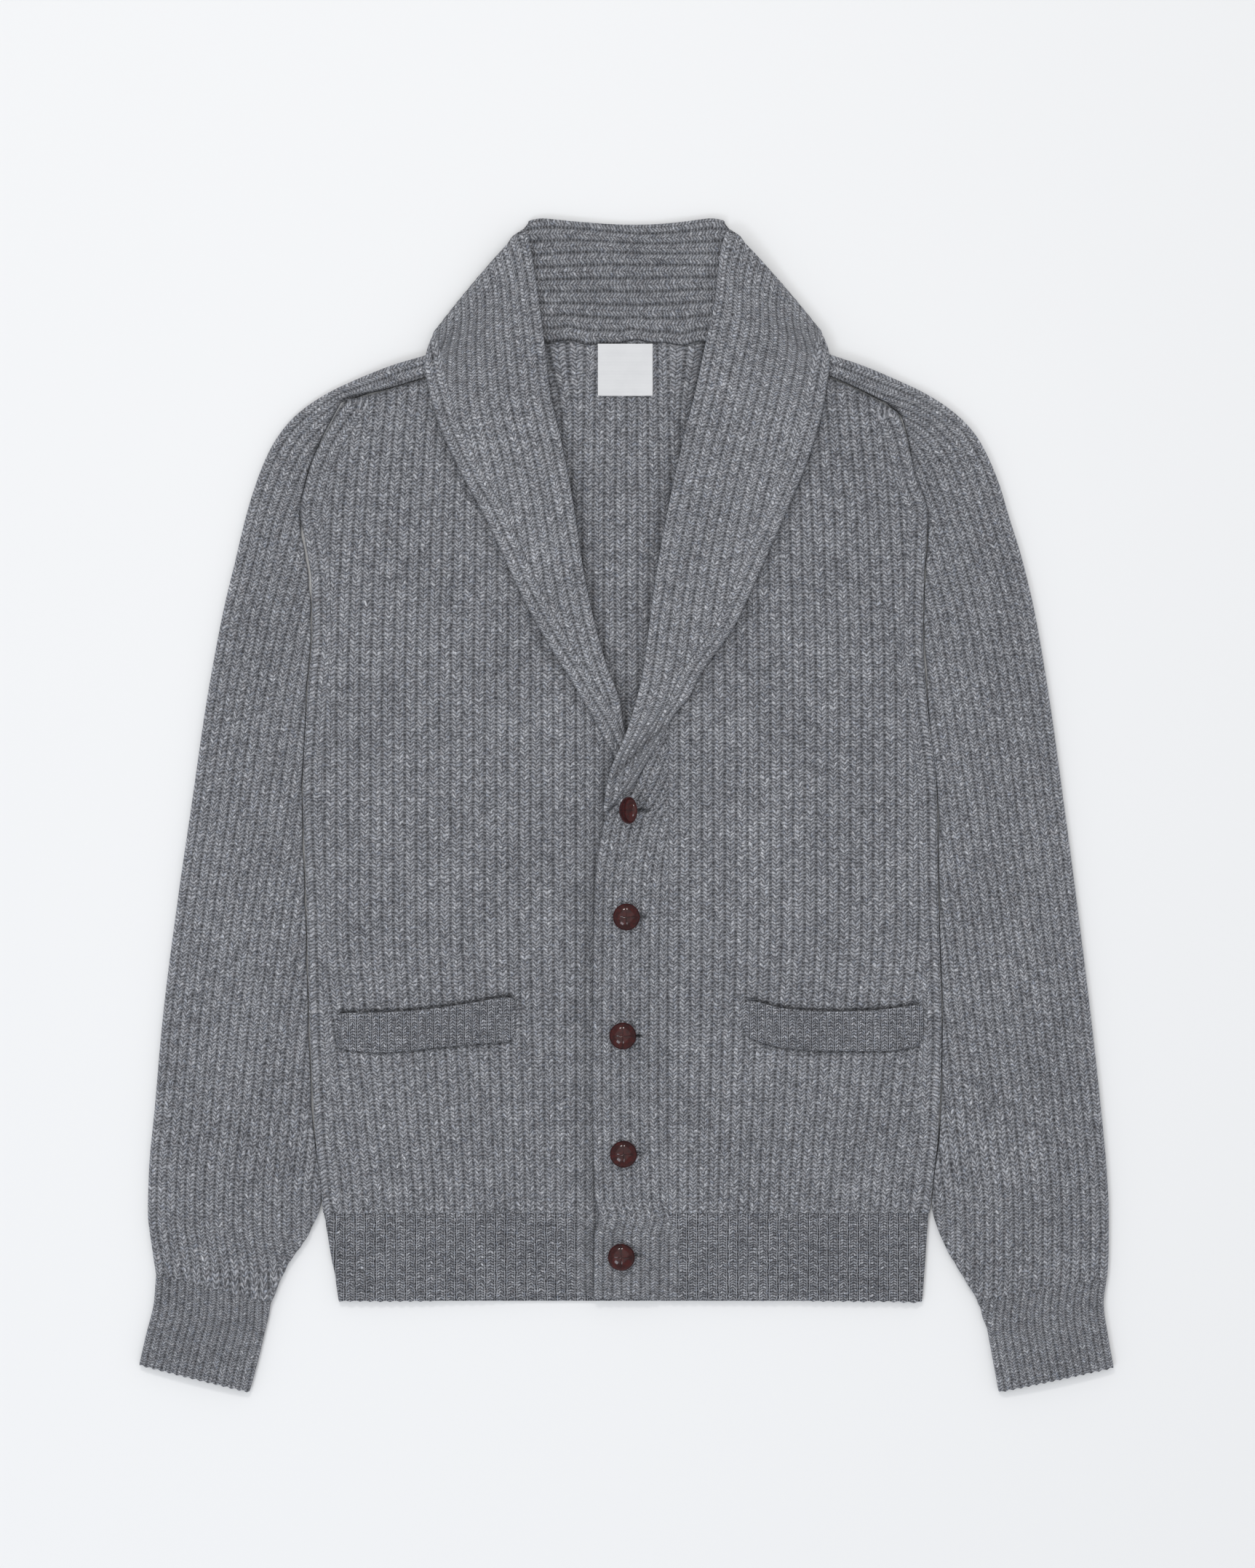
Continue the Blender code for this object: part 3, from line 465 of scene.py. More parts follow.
def ease(value, start, end):
    """0 at start, 1 at end and smooth between them."""
    t = np.clip((np.asarray(value, float) - start) / (end - start), 0, 1)
    return t * t * (3 - 2 * t)


def lengths(points):
    """Distance along the line through these points, at each of them."""
    return np.concatenate([[0.0], np.cumsum(np.linalg.norm(np.diff(points, axis=0), axis=1))])


def along(points, shares):
    """Points at these shares of the length of the curve through the given points."""
    points = np.asarray(points, float)
    knots = lengths(points[:, :2])
    return through(knots, points, np.asarray(shares) * knots[-1])


def resample(points, count):
    """The curve through points in space as count points spaced evenly along it."""
    points = np.asarray(points, float)
    knots = lengths(points)
    return through(knots, points, np.linspace(0, knots[-1], count))


def grid_normals(grid):
    across = np.gradient(grid, axis=1)
    up = np.gradient(grid, axis=0)
    normal = np.cross(across, up)
    return normal / np.maximum(np.linalg.norm(normal, axis=2, keepdims=True), 1e-9)


def run_length(grid, axis):
    """Distance along each grid line from its start."""
    chord = np.linalg.norm(np.diff(grid, axis=axis), axis=2)
    shape = list(grid.shape[:2])
    shape[axis] = 1
    return np.concatenate([np.zeros(shape), np.cumsum(chord, axis=axis)], axis=axis)


def spaced(length, step):
    """Shares of a length in even steps, with close ones near both ends for the rounded rims."""
    inner = np.linspace(0, length, max(int(length / step), 4) + 1)
    inner = inner[(inner > 1.3) & (inner < length - 1.3)]
    near = np.array(RIM_STEPS)
    return np.concatenate([near, inner, (length - near)[::-1]]) / length


def waves(x, y, seed, size, height):
    """Soft uneven ground: a few long waves that cross each other."""
    total = 0.0
    for k in range(4):
        angle = seed * 1.7 + k * 1.3
        reach = size * (1 + 0.37 * k)
        phase = seed * 2.1 + k * 1.9
        total = total + np.sin((x * math.cos(angle) + y * math.sin(angle)) * FULL_TURN / reach + phase)
    return height * total / 4


# One knitted face: rib count and course count of each grid point, the ribs' height, and the share of light
# that the point keeps beside seams and slits. border_mask marks the points that take the second counts.
Face = namedtuple("Face", "rib course height border_rib border_course border_mask shade")


def ribs(count, height, fullness=2.2):
    """Relief of round ribs: one for each whole count."""
    across = np.abs(2 * (count - np.floor(count)) - 1)
    return height * (1 - across**fullness)


def face(rib, course, height, border=None, shade=None, fullness=2.2):
    border_rib, border_course, mask = border or (rib, course, np.zeros(rib.shape, bool))
    relief = np.where(mask, ribs(border_rib, height, fullness), ribs(rib, height, fullness))
    if shade is None:
        shade = np.ones(rib.shape)
    return Face(rib, course, relief - height, border_rib, border_course, mask, shade)


def rim_factor(mid, rims):
    """How full the cloth is near its edges: 1 inside, falling round to a thin lip."""
    across = run_length(mid, 1)
    up = run_length(mid, 0)
    distances = (across, across[:, -1:] - across, up, up[-1:] - up)
    full = np.ones(mid.shape[:2])
    for distance, radius in zip(distances, rims):
        if np.any(radius):
            share = np.clip(distance / np.maximum(radius, 0.05), 0.0, 1.0)
            full = full * np.sqrt(np.maximum(1 - (1 - share) ** 2, 0.02))
    return full


def place_mesh(name, points, faces, material):
    """A new smooth object in the scene, from points in millimetres."""
    mesh = bpy.data.meshes.new(name)
    mesh.from_pydata((np.asarray(points) * MM).tolist(), [], faces)
    mesh.shade_smooth()
    mesh.materials.append(material)
    made = bpy.data.objects.new(name, mesh)
    bpy.context.scene.collection.objects.link(made)
    return made


def write_shade(mesh, values):
    layer = mesh.attributes.new("Shade", "FLOAT", "POINT")
    layer.data.foreach_set("value", values.astype(np.float32))


def quads(rows, columns):
    """The faces of a grid of points, turned the same way as its normals."""
    i, j = np.meshgrid(np.arange(rows - 1), np.arange(columns - 1), indexing="ij")
    corner = (i * columns + j).reshape(-1)
    return np.stack([corner, corner + 1, corner + columns + 1, corner + columns], axis=1)


def shell(name, mid, outward, knit, material, rims=(RIM,) * 4, keep=None, thickness=WALL, proud=PROUD):
    """A closed shell round a grid of middle points, with knit on the face that points outward.

    The inner face has only the rows in keep, because nothing fine shows on it. The outer face stands proud
    of the solid's by a little, and rims are the radii of the rounded edges: start, end, low and high.
    """
    rows, columns = mid.shape[:2]
    if keep is None:
        keep = np.unique([0, 1, 2, *range(6, rows - 3, 7), rows - 3, rows - 2, rows - 1])
    full = rim_factor(mid, rims)
    normal = grid_normals(mid) * outward
    outer = mid + normal * (full * (thickness / 2 + proud + knit.height))[..., None]
    inner = mid - normal * (full * thickness / 2)[..., None]
    points = np.concatenate([outer.reshape(-1, 3), inner[keep].reshape(-1, 3)])
    below = rows * columns
    faces = quads(rows, columns).tolist() + (quads(len(keep), columns)[:, [0, 3, 2, 1]] + below).tolist()
    last = (rows - 1) * columns
    last_below = below + (len(keep) - 1) * columns
    for j in range(columns - 1):
        faces.append([j + 1, j, below + j, below + j + 1])
        faces.append([last + j, last + j + 1, last_below + j + 1, last_below + j])
    for k in range(len(keep) - 1):
        low, high = int(keep[k]), int(keep[k + 1])
        run = [row * columns for row in range(low, high + 1)]
        faces.append(run + [below + (k + 1) * columns, below + k * columns])
        run = [row * columns + columns - 1 for row in range(high, low - 1, -1)]
        faces.append(run + [below + k * columns + columns - 1, below + (k + 1) * columns + columns - 1])
    if outward < 0:
        faces = [f[::-1] for f in faces]
    made = place_mesh(name, points, faces, material)
    write_counts(made.data, knit, keep)
    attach(made, "root")
    return made


def write_counts(mesh, knit, keep):
    """The Stitch map and the Shade attribute. A face takes all its counts from one side of a border."""

    def both(values):
        return np.concatenate([values.reshape(-1), values[keep].reshape(-1)])

    corners = np.empty(len(mesh.loops), np.int32)
    mesh.loops.foreach_get("vertex_index", corners)
    sizes = np.empty(len(mesh.polygons), np.int32)
    mesh.polygons.foreach_get("loop_total", sizes)
    owner = np.repeat(np.arange(len(sizes)), sizes)
    mask = both(knit.border_mask.astype(float))
    share = np.bincount(owner, weights=mask[corners]) / sizes
    bordered = (share > 0.5)[owner]
    rib = np.where(bordered, both(knit.border_rib)[corners], both(knit.rib)[corners])
    course = np.where(bordered, both(knit.border_course)[corners], both(knit.course)[corners])
    layer = mesh.uv_layers.new(name="Stitch")
    layer.data.foreach_set("uv", np.stack([rib, course], axis=1).astype(np.float32).reshape(-1))
    write_shade(mesh, both(knit.shade))


class Wire:
    """An output of a material's nodes. Arithmetic on it adds Math nodes."""

    def __init__(self, graph, output):
        self.graph = graph
        self.output = output

    def __add__(self, other):
        return self.graph.math("ADD", self, other)

    def __sub__(self, other):
        return self.graph.math("SUBTRACT", self, other)

    def __mul__(self, other):
        return self.graph.math("MULTIPLY", self, other)

    def __abs__(self):
        return self.graph.math("ABSOLUTE", self)


class Graph:
    """Short names for building one material's nodes."""

    def __init__(self, name):
        self.material = bpy.data.materials.new(name)
        self.material.use_nodes = True
        self.nodes = self.material.node_tree.nodes

    def put(self, value, socket):
        """Links a wire to a socket, or sets the socket to a number or a colour."""
        if isinstance(value, Wire):
            self.material.node_tree.links.new(value.output, socket)
        elif isinstance(value, tuple):
            socket.default_value = (*value, 1.0)
        else:
            socket.default_value = value

    def add(self, kind, values=None, output=0, **settings):
        """A new node with values on its sockets. Gives the wire of one of its outputs."""
        made = self.nodes.new(kind)
        for key, value in settings.items():
            setattr(made, key, value)
        for socket, value in (values or {}).items():
            self.put(value, made.inputs[socket])
        return Wire(self, made.outputs[output])

    def math(self, operation, *values):
        return self.add("ShaderNodeMath", dict(enumerate(values)), operation=operation)

    def smooth(self, value, low, high, to_low=0.0, to_high=1.0):
        values = dict(enumerate((value, low, high, to_low, to_high)))
        return self.add("ShaderNodeMapRange", values, interpolation_type="SMOOTHSTEP")

    def noise(self, vector, scale, detail=3.0, roughness=0.6):
        values = {"Vector": vector, "Scale": scale, "Detail": detail, "Roughness": roughness}
        return self.add("ShaderNodeTexNoise", values, "Fac")

    def mix(self, share, first, second, blend="MIX"):
        values = {0: share, 6: first, 7: second}
        return self.add("ShaderNodeMix", values, 2, data_type="RGBA", blend_type=blend)

    def join(self, x, y, z=0.0):
        return self.add("ShaderNodeCombineXYZ", {0: x, 1: y, 2: z})

    def grey(self, value):
        return self.join(value, value, value)

    def split(self, vector):
        """The first two parts of a vector."""
        made = self.nodes.new("ShaderNodeSeparateXYZ")
        self.put(vector, made.inputs[0])
        return Wire(self, made.outputs[0]), Wire(self, made.outputs[1])

    def place(self):
        return self.add("ShaderNodeTexCoord", output="Object")

    def shade(self):
        """The share of light that a point keeps, from the mesh."""
        return self.add("ShaderNodeAttribute", output="Fac", attribute_name="Shade")

    def look(self, values):
        """Sets or links the shader's sockets. Gives the material."""
        for socket, value in values.items():
            self.put(value, self.nodes["Principled BSDF"].inputs[socket])
        return self.material

    def bump(self, height, strength, distance):
        values = {"Height": height, "Strength": strength, "Distance": distance * MM}
        return self.add("ShaderNodeBump", values)


# Where a fine rib's smooth column stands, as a share of half the rib's width.
COLUMN_AT = 0.76

# How a knitted material looks: yarn colours, the rise of the stitch legs in courses, the knit column's
# share of a rib, the painted shade in the gaps and the painted light on the legs, and a smooth column's
# width beside the rib.
Yarn = namedtuple("Yarn", "dark middle light slant wide gap lit split")
BODY_YARN = Yarn(
    dark=(0.074, 0.076, 0.085),
    middle=(0.214, 0.218, 0.234),
    light=(0.475, 0.48, 0.50),
    slant=1.2,
    wide=0.70,
    gap=0.21,
    lit=1.48,
    split=0.0,
)
RIB_YARN = Yarn(
    dark=(0.064, 0.066, 0.075),
    middle=(0.195, 0.199, 0.215),
    light=(0.42, 0.425, 0.45),
    slant=1.0,
    wide=0.56,
    gap=0.10,
    lit=1.75,
    split=0.12,
)
FALL_YARN = BODY_YARN._replace(
    dark=(0.082, 0.084, 0.094),
    middle=(0.234, 0.238, 0.254),
    light=(0.51, 0.515, 0.54),
)
# A few fibres are bluer than the rest, and some browner.
BLUE_FIBRE = (0.27, 0.30, 0.37)
BROWN_FIBRE = (0.24, 0.218, 0.222)


def knit_material(name, yarn):
    """Stitches drawn from the Stitch map: two slanting legs to each course of a rib, in melange yarn."""
    g = Graph(name)
    rib, course = g.split(g.add("ShaderNodeUVMap", uv_map="Stitch"))
    place = g.place()
    # Uneven hand: the counts wander a little.
    course = course + (g.noise(place, 200.0, 3.0) - 0.5) * 2.1
    rib = rib + (g.noise(place, 260.0, 2.0) - 0.5) * 0.22
    part = g.math("FRACT", rib)
    side = abs(part - 0.5) * 2.0
    # The legs of a knit column rise from its middle to its edges.
    phase = course - side * yarn.slant
    leg = (g.math("COSINE", phase * FULL_TURN) + 1.0) * 0.5
    # Each leg of yarn has its own tone, and stands out more or less.
    half = g.math("SIGN", part - 0.5) * 0.23
    cell = g.join(g.math("FLOOR", rib) + half, g.math("FLOOR", phase + 0.5))
    tone = g.add("ShaderNodeTexWhiteNoise", {"Vector": cell}, "Value", noise_dimensions="3D")
    crown = g.smooth(side, yarn.wide + 0.20, yarn.wide - 0.16)
    seam = g.smooth(side, 0.0, 0.14, 0.55, 1.0)
    stroke = leg * (tone * 0.28 + 0.58)
    knit = seam * (stroke + 0.26)
    # The purl gaps between the columns show a small dark hollow at each course.
    purl = g.math("COSINE", (course + 0.5) * FULL_TURN) * 0.20 + 0.28
    height = g.mix(crown, g.grey(purl), g.grey(knit))
    if yarn.split:
        # Smooth narrow columns stand on both sides of a wide rib, with a thin line of painted shade between
        # two ribs.
        column = g.smooth(abs(side - COLUMN_AT), yarn.split, yarn.split * 0.3)
        height = g.math("MAXIMUM", height * 0.72, column * 0.85)
    # Twisted fibres run along the legs, and loose ones lie across them.
    fibre = g.noise(g.join(part * 9.0, phase * 3.2, g.math("FLOOR", rib)), 1.6, 3.0, 0.7)
    hair = g.noise(place, 1100.0, 2.0, 0.8)
    melange = g.noise(place, 520.0, 3.0, 0.75)
    cloud = g.noise(place, 14.0, 3.0, 0.5)
    light = melange * 0.75 + fibre * 0.35 + tone * 0.20 + hair * 0.60 + cloud * 0.16
    low = g.smooth(light, 0.78, 1.06)
    high = g.smooth(light, 1.06, 1.34)
    colour = g.mix(high, g.mix(low, yarn.dark, yarn.middle), yarn.light)
    fleck = g.noise(place, 330.0, 2.0, 0.8)
    colour = g.mix(g.smooth(fleck, 0.56, 0.68, 0.0, 0.38), colour, BLUE_FIBRE)
    colour = g.mix(g.smooth(fleck, 0.44, 0.33, 0.0, 0.35), colour, BROWN_FIBRE)
    # Painted light and shade: the stitch relief lightens the legs' crowns and darkens the gaps in the base
    # colour, and the Shade attribute adds painted shade at seams, slits and overlying edges.
    depth = g.smooth(height, 0.0, 0.90, yarn.gap, yarn.lit)
    return g.look({
        "Base Color": g.mix(1.0, colour, g.grey(depth * g.shade()), "MULTIPLY"),
        "Roughness": 0.92,
        "Specular IOR Level": 0.22,
        "Sheen Weight": 0.28,
        "Sheen Roughness": 0.55,
        "Sheen Tint": (0.80, 0.83, 0.90),
        "Normal": g.bump(height + fibre * 0.20 + hair * 0.30, 1.0, 0.9),
    })


def label_material():
    """White woven satin: fine ribs across and a faint lustre."""
    g = Graph("label_satin")
    place = g.place()
    x, y = g.split(place)
    weft = (g.math("SINE", y * 9000.0) + 1.0) * 0.5
    warp = (g.math("SINE", x * 14000.0) + 1.0) * 0.5
    weave = weft * 0.6 + warp * 0.4
    tone = weave * 0.5 + g.noise(place, 60.0, 3.0) * 0.5
    return g.look({
        "Base Color": g.mix(tone, (0.52, 0.52, 0.53), (0.72, 0.72, 0.72)),
        "Roughness": 0.48,
        "Sheen Weight": 0.2,
        "Normal": g.bump(weave, 0.25, 0.15),
    })


def button_material():
    """Polished oxblood plastic, redder in its depth, with fine wear in the gloss."""
    g = Graph("button_gloss")
    place = g.place()
    marble = g.noise(place, 260.0, 4.0, 0.65)
    colour = g.mix(g.smooth(marble, 0.38, 0.66), (0.022, 0.0018, 0.0015), (0.050, 0.0042, 0.0032))
    scuff = g.noise(place, 900.0, 3.0, 0.6)
    # The Shade attribute paints shade into the crossed grooves.
    return g.look({
        "Base Color": g.mix(1.0, colour, g.grey(g.shade()), "MULTIPLY"),
        "Roughness": g.smooth(scuff, 0.3, 0.8, 0.16, 0.30),
        "Specular IOR Level": 0.08,
        "Coat Weight": 0.5,
        "Coat Roughness": 0.06,
        "Normal": g.bump(marble, 0.12, 0.1),
    })


def floor_material():
    look = {"Base Color": (0.80, 0.80, 0.80), "Roughness": 0.9, "Specular IOR Level": 0.1}
    return Graph("pale_floor").look(look)


# Width of one rib of the body at each level: the hem draws the ribs in, and the fronts spread above it.
Spacing = namedtuple("Spacing", "y width")
BODY_SPACING = rows_of(
    Spacing,
    (-361, 7.3),
    (-297, 7.35),
    (-220, 7.7),
    (-75, 8.3),
    (70, 8.3),
    (200, 8.1),
    (345, 7.4),
)


def soft(x, y):
    """Low swells in the fronts, highest away from the seams."""
    return 0.5 + waves(x, y, 1.0, 260.0, 0.5)


def lift(x, y, lead=0.0):
    """How far the shoulders and neck are raised by the collar's fall folded down behind them."""
    return LAYER * ease(y - LIFT_SLOPE * np.abs(x) + lead, LIFT_START, LIFT_FULL)


def back_height(x, y):
    return BACK_Z + lift(x, y)


def front_height(x, y, lead=FRONT_LEAD):
    return FRONT_Z + lift(x, y, lead) + soft(x, y)


def overlap_height(x, y, lead=FRONT_LEAD):
    """Middle of the left front and band: it rises onto the right band towards the opening."""
    shift = OVERLAP_LEAD * (lead - FRONT_LEAD)
    return front_height(x, y, lead) + LAYER * ease(x - shift, BAND_LEFT_SEAM - 1, OVERLAP_STARTS)


def patch(start, end, bottom, top, rows, shares):
    """A grid between four edge curves: start and end run upwards, bottom and top run from start to end."""
    start = along(start, rows)
    end = along(end, rows)
    v = np.asarray(rows)[:, None, None]
    u = np.asarray(shares)[None, :, None]
    bottom = along(bottom, shares)[None]
    top = along(top, shares)[None]
    corners = (
        (1 - u) * (1 - v) * start[0] + u * (1 - v) * end[0] + (1 - u) * v * start[-1] + u * v * end[-1]
    )
    return (1 - u) * start[:, None] + u * end[:, None] + (1 - v) * bottom + v * top - corners


def strip(levels, start_x, end_x, shares):
    """A grid between two x values at each level."""
    u = np.asarray(shares)[None, :]
    x = start_x[:, None] * (1 - u) + end_x[:, None] * u
    y = np.repeat(np.asarray(levels, float)[:, None], len(shares), axis=1)
    return np.stack([x, y], axis=2)


def raised(flat, height):
    """A grid of x and y with its middle height."""
    return np.dstack([flat, height(flat[..., 0], flat[..., 1])])


def nearest_on(line, grid):
    """Distance of each grid point to a line, and the length along the line to its nearest point."""
    length = lengths(line)
    distance = np.empty(grid.shape[:2])
    place = np.empty(grid.shape[:2])
    for i, row in enumerate(grid[..., :2]):
        gaps = np.linalg.norm(row[:, None] - line[None], axis=2)
        nearest = gaps.argmin(axis=1)
        distance[i] = gaps[np.arange(len(nearest)), nearest]
        place[i] = length[nearest]
    return distance, place


def groove(distance, width, depth):
    """A soft trough, or a loss of light, that is deepest where distance is 0."""
    return depth * np.exp(-((distance / width) ** 2))


# Where the front's side lies when it is turned down round the back's edge: distance in from the outline of
# each point of the cloth, and how far it has dropped.
TURN_REACH = 20.0
TURN_AT = (0.0, 2.4, 4.8, 7.2, TURN_REACH)
TURN_INSET = tuple(fold.inset - at for fold, at in zip(SIDE_FOLD, TURN_AT)) + (-0.3,)
TURN_DROP = tuple(fold.drop for fold in SIDE_FOLD) + (0.0,)


def painted_seam_shade(distance):
    """Painted shade: the thin dark line in the groove of a sewn seam inside the body."""
    return groove(distance, 0.8, 0.1)


def edge_shadow(grid, *lines):
    """The soft loss of light in the cloth beside an edge that lies on it."""
    lost = np.zeros(grid.shape[:2])
    for line in lines:
        distance, _ = nearest_on(along(np.array(line, float), np.linspace(0, 1, 240)), grid)
        lost = np.maximum(lost, groove(distance, SHADOW_REACH, SHADOW_DEPTH))
    return lost


def fall_edge(table):
    return [(row.edge_x, row.edge_y) for row in table]


def roll_line(table):
    return [(row.roll_x, row.roll_y) for row in table]


def turn_side_down(grid, amount):
    """Turns the grid's first side down round the back's edge, and widens it into the sleeve's seam."""
    inward = np.sign(grid[:, -1:, 0] - grid[:, :1, 0])
    reach = run_length(grid, 1)
    shift = -SEAM_OVERLAP + amount * np.interp(reach, TURN_AT, TURN_INSET) * (reach < TURN_REACH)
    grid[..., 0] += inward * shift * ease(reach, 3 * TURN_REACH, TURN_REACH)
    grid[..., 2] -= amount * np.interp(reach, TURN_AT, TURN_DROP)
    return grid


def side_points(side, bottom, top):
    """The body's side outline between two levels, as x and y."""
    levels = [bottom] + [r.y for r in BODY_SIDE if bottom < r.y < top] + [top]
    return np.column_stack([read(BODY_SIDE, side + "_x", levels), levels])


def seam_points(table, side):
    return np.column_stack([column(table, side + "_x"), column(table, side + "_y")])


def side_and_armhole(side):
    """A panel's outer edge, from the hem's seam up its side and its armhole."""
    below = side_points(side, HEM_TOP, ARMHOLE[0].right_y)[:-1]
    return np.concatenate([below, seam_points(ARMHOLE, side)])


def neck_line(table, gap):
    """The line under the fall where the collar's stand is sewn on, moved out by gap."""
    roll = np.array(roll_line(table))
    edge = np.array(fall_edge(table))
    direction = (edge - roll) / np.linalg.norm(edge - roll, axis=1, keepdims=True)
    return roll + direction * (column(table, "stand")[:, None] + gap)


def welt_edge(table, name, x):
    """A welt's top or bottom edge at x, level beyond its ends."""
    return read(table, name, np.clip(x, table[0].x, table[-1].x), "x")


def front(name, side, neck, seam_x, seam_top, welt_table, material):
    """A front panel: two ribs follow its side and armhole, and the others end on them."""
    outer = side_and_armhole(side)
    inner_neck = [p for p in neck if abs(p[0]) > abs(seam_x) + 2 and p[1] < 300]
    saddle = seam_points(SADDLE, side)
    inner = np.array([[seam_x, HEM_TOP], [seam_x, 0.0], [seam_x, seam_top], *inner_neck, saddle[-1]])
    length = lengths(outer)[-1]
    pocket_rows = (np.arange(POCKET_LOW, POCKET_HIGH, POCKET_STEP) - HEM_TOP) / length
    rows = np.unique(np.concatenate([spaced(length, STEP_ALONG), pocket_rows]))
    bottom = np.array([outer[0], inner[0]])
    flat = patch(outer, inner, bottom, saddle, rows, spaced(FRONT_WIDTH, STEP_ACROSS))
    grid = raised(flat, front_height)
    edge_distance, edge_place = nearest_on(along(outer, np.linspace(0, 1, 900)), grid)
    grid = turn_side_down(grid, ease(grid[:, :1, 1], ARMHOLE_OPEN, UNDERARM))
    x, y = grid[..., 0], grid[..., 1]
    rib = np.abs(x - seam_x) / read(BODY_SPACING, "width", y)
    in_border = edge_distance < BORDER_RIBS * BODY_PITCH
    border = (edge_distance / BODY_PITCH, edge_place / BODY_COURSE, in_border)
    above = y - welt_edge(welt_table, "top", x)
    ends = sorted((welt_table[0].x, welt_table[-1].x))
    pocket = ease(x, ends[0] - 1, ends[0] + 5) * ease(x, ends[1] + 1, ends[1] - 5)
    below = y - welt_edge(welt_table, "bottom", x)
    # Painted shade in the pocket's opening above the welt and along the welt's lower edge, along the saddle
    # seam and the band seam, and painted shadow beside the collar's fall edge.
    shade = 1 - pocket * (groove(above - 0.6, 1.8, 0.62) + groove(below + 0.9, 1.3, 0.5))
    saddle_distance = nearest_on(along(saddle, np.linspace(0, 1, 300)), grid)[0]
    shade = shade - groove(saddle_distance, 0.9, 0.5) - painted_seam_shade(x - seam_x)
    shade -= edge_shadow(grid, fall_edge(COLLAR_RIGHT if side == "right" else COLLAR_LEFT))
    knit = face(rib, y / BODY_COURSE, BODY_RELIEF, border, np.maximum(shade, 0.2))
    knit = knit._replace(height=knit.height - pocket * groove(above - 0.8, 1.9, 1.1))
    outward = 1 if side == "right" else -1
    made = shell(name + "_knit", grid, outward, knit, material, rims=(RIM, SEAM_RIM, 0, RIM))
    finish_cloth(name)


def finish_cloth(node):
    """Hides the solid that a shell stands for."""
    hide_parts(node)


def neck_wander(x):
    """The neck seam is gathered unevenly: how far it lies above its level."""
    return 1.3 * np.sin(x / 9.0 + 0.6) + 0.7 * np.sin(x / 3.7) - 1.0


def back(material):
    """The back panel. Its outer face is underneath, and its inside shows in the neck."""
    edges = {}
    for side, inward in (("right", 1), ("left", -1)):
        shoulder = seam_points(SADDLE, side)[1:]
        top = [[-inward * BACK_NECK_CORNER, NECK_SEAM - 0.1]]
        points = np.concatenate([side_and_armhole(side), shoulder, top])
        inset = BACK_INSET * ease(points[:, 1], BACK_ARMHOLE_OPEN, UNDERARM + 12)
        points[:, 0] += inward * (inset + SEAM_GAP / 2 - BACK_SPREAD)
        edges[side] = points
    top = np.array([edges["right"][-1], edges["left"][-1]])
    bottom = np.array([edges["right"][0], edges["left"][0]])
    rows = spaced(BACK_LENGTH, STEP_ALONG)
    flat = patch(edges["right"], edges["left"], bottom, top, rows, spaced(BACK_WIDTH, BACK_STEP))
    grid = raised(flat, back_height)
    x, y = grid[..., 0], grid[..., 1]
    fan = np.sign(x) * np.maximum(np.abs(x) - 30, 0) * 0.45 * ease(y, 270.0, NECK_SEAM)
    rib = (x - fan) / read(BODY_SPACING, "width", y)
    # Painted shade along the neck seam and painted shadow beside the collar's rolled edges.
    shade = 1 - groove(y - NECK_SEAM, 1.6, 0.5)
    shade -= edge_shadow(grid, roll_line(COLLAR_RIGHT), roll_line(COLLAR_LEFT)) * (y > 20.0)
    grid[..., 1] = y + neck_wander(x) * ease(y, NECK_SEAM - 18.0, NECK_SEAM)
    knit = face(rib, y / BODY_COURSE, BODY_RELIEF, shade=shade)
    level = y[:, len(y[0]) // 2]
    keep = np.array([i for i, at in enumerate(level) if at > 20.0 or i % 8 == 0 or i > len(rows) - 4])
    made = shell("back_knit", grid, -1, knit, material, rims=(RIM, RIM, 0, RIM), keep=keep, proud=0.0)
    emboss_inside(made, knit, keep)
    finish_cloth("back")


def emboss_inside(made, knit, keep):
    """Gives the kept rows of a shell's upper face the same ribs, sunk into the wall."""
    rows = knit.height.shape[0] * knit.height.shape[1]
    points = np.empty(len(made.data.vertices) * 3)
    made.data.vertices.foreach_get("co", points)
    points = points.reshape(-1, 3)
    points[rows:, 2] += knit.height[keep].reshape(-1) * MM * 0.8
    made.data.vertices.foreach_set("co", points.reshape(-1))
    made.data.update()


def uneven_hem(grid, table, rib):
    """Lifts the hem's lower edge unevenly, with a small scallop at each rib."""
    x, y = grid[..., 0], grid[..., 1]
    rise = read(table, "rise", x, "x")
    scallop = 0.5 * np.cos(FULL_TURN * rib) + 0.5 * waves(x, 0 * x, 2.0, 34.0, 1.0)
    return y + rise * ease(y, HEM_TOP, HEM_BOTTOM) + scallop * ease(y, HEM_BOTTOM + 8.0, HEM_BOTTOM)


def hem(name, side, seam_x, material):
    """Half of the front hem, in a finer rib with its stitches the other way up."""
    levels = HEM_BOTTOM + (HEM_TOP - HEM_BOTTOM) * spaced(HEM_TOP - HEM_BOTTOM, 2.6)
    outer = read(BODY_SIDE, side + "_x", levels)
    seam = band_seam(levels) if side == "left" else np.full(len(levels), seam_x)
    flat = strip(levels, outer, seam, spaced(HEM_WIDTH, HEM_STEP))
    grid = turn_side_down(raised(flat, front_height), np.ones((len(levels), 1)))
    x, y = grid[..., 0], grid[..., 1]
    rib = np.abs(x - seam_x) / HEM_PITCH
    grid[..., 1] = uneven_hem(grid, HEM_EDGE_RIGHT if side == "right" else HEM_EDGE_LEFT, rib)
    drawn = groove(y - HEM_TOP, 5.0, 0.4)
    knit = face(rib, -y / HEM_COURSE, HEM_RELIEF, shade=1 - painted_seam_shade(x - flat[:, -1:, 0]))
    knit = knit._replace(height=knit.height - drawn)
    outward = 1 if side == "right" else -1
    made = shell(name + "_rib", grid, outward, knit, material, rims=(RIM, SEAM_RIM, 0.6 * RIM, 0))
    finish_cloth(name)


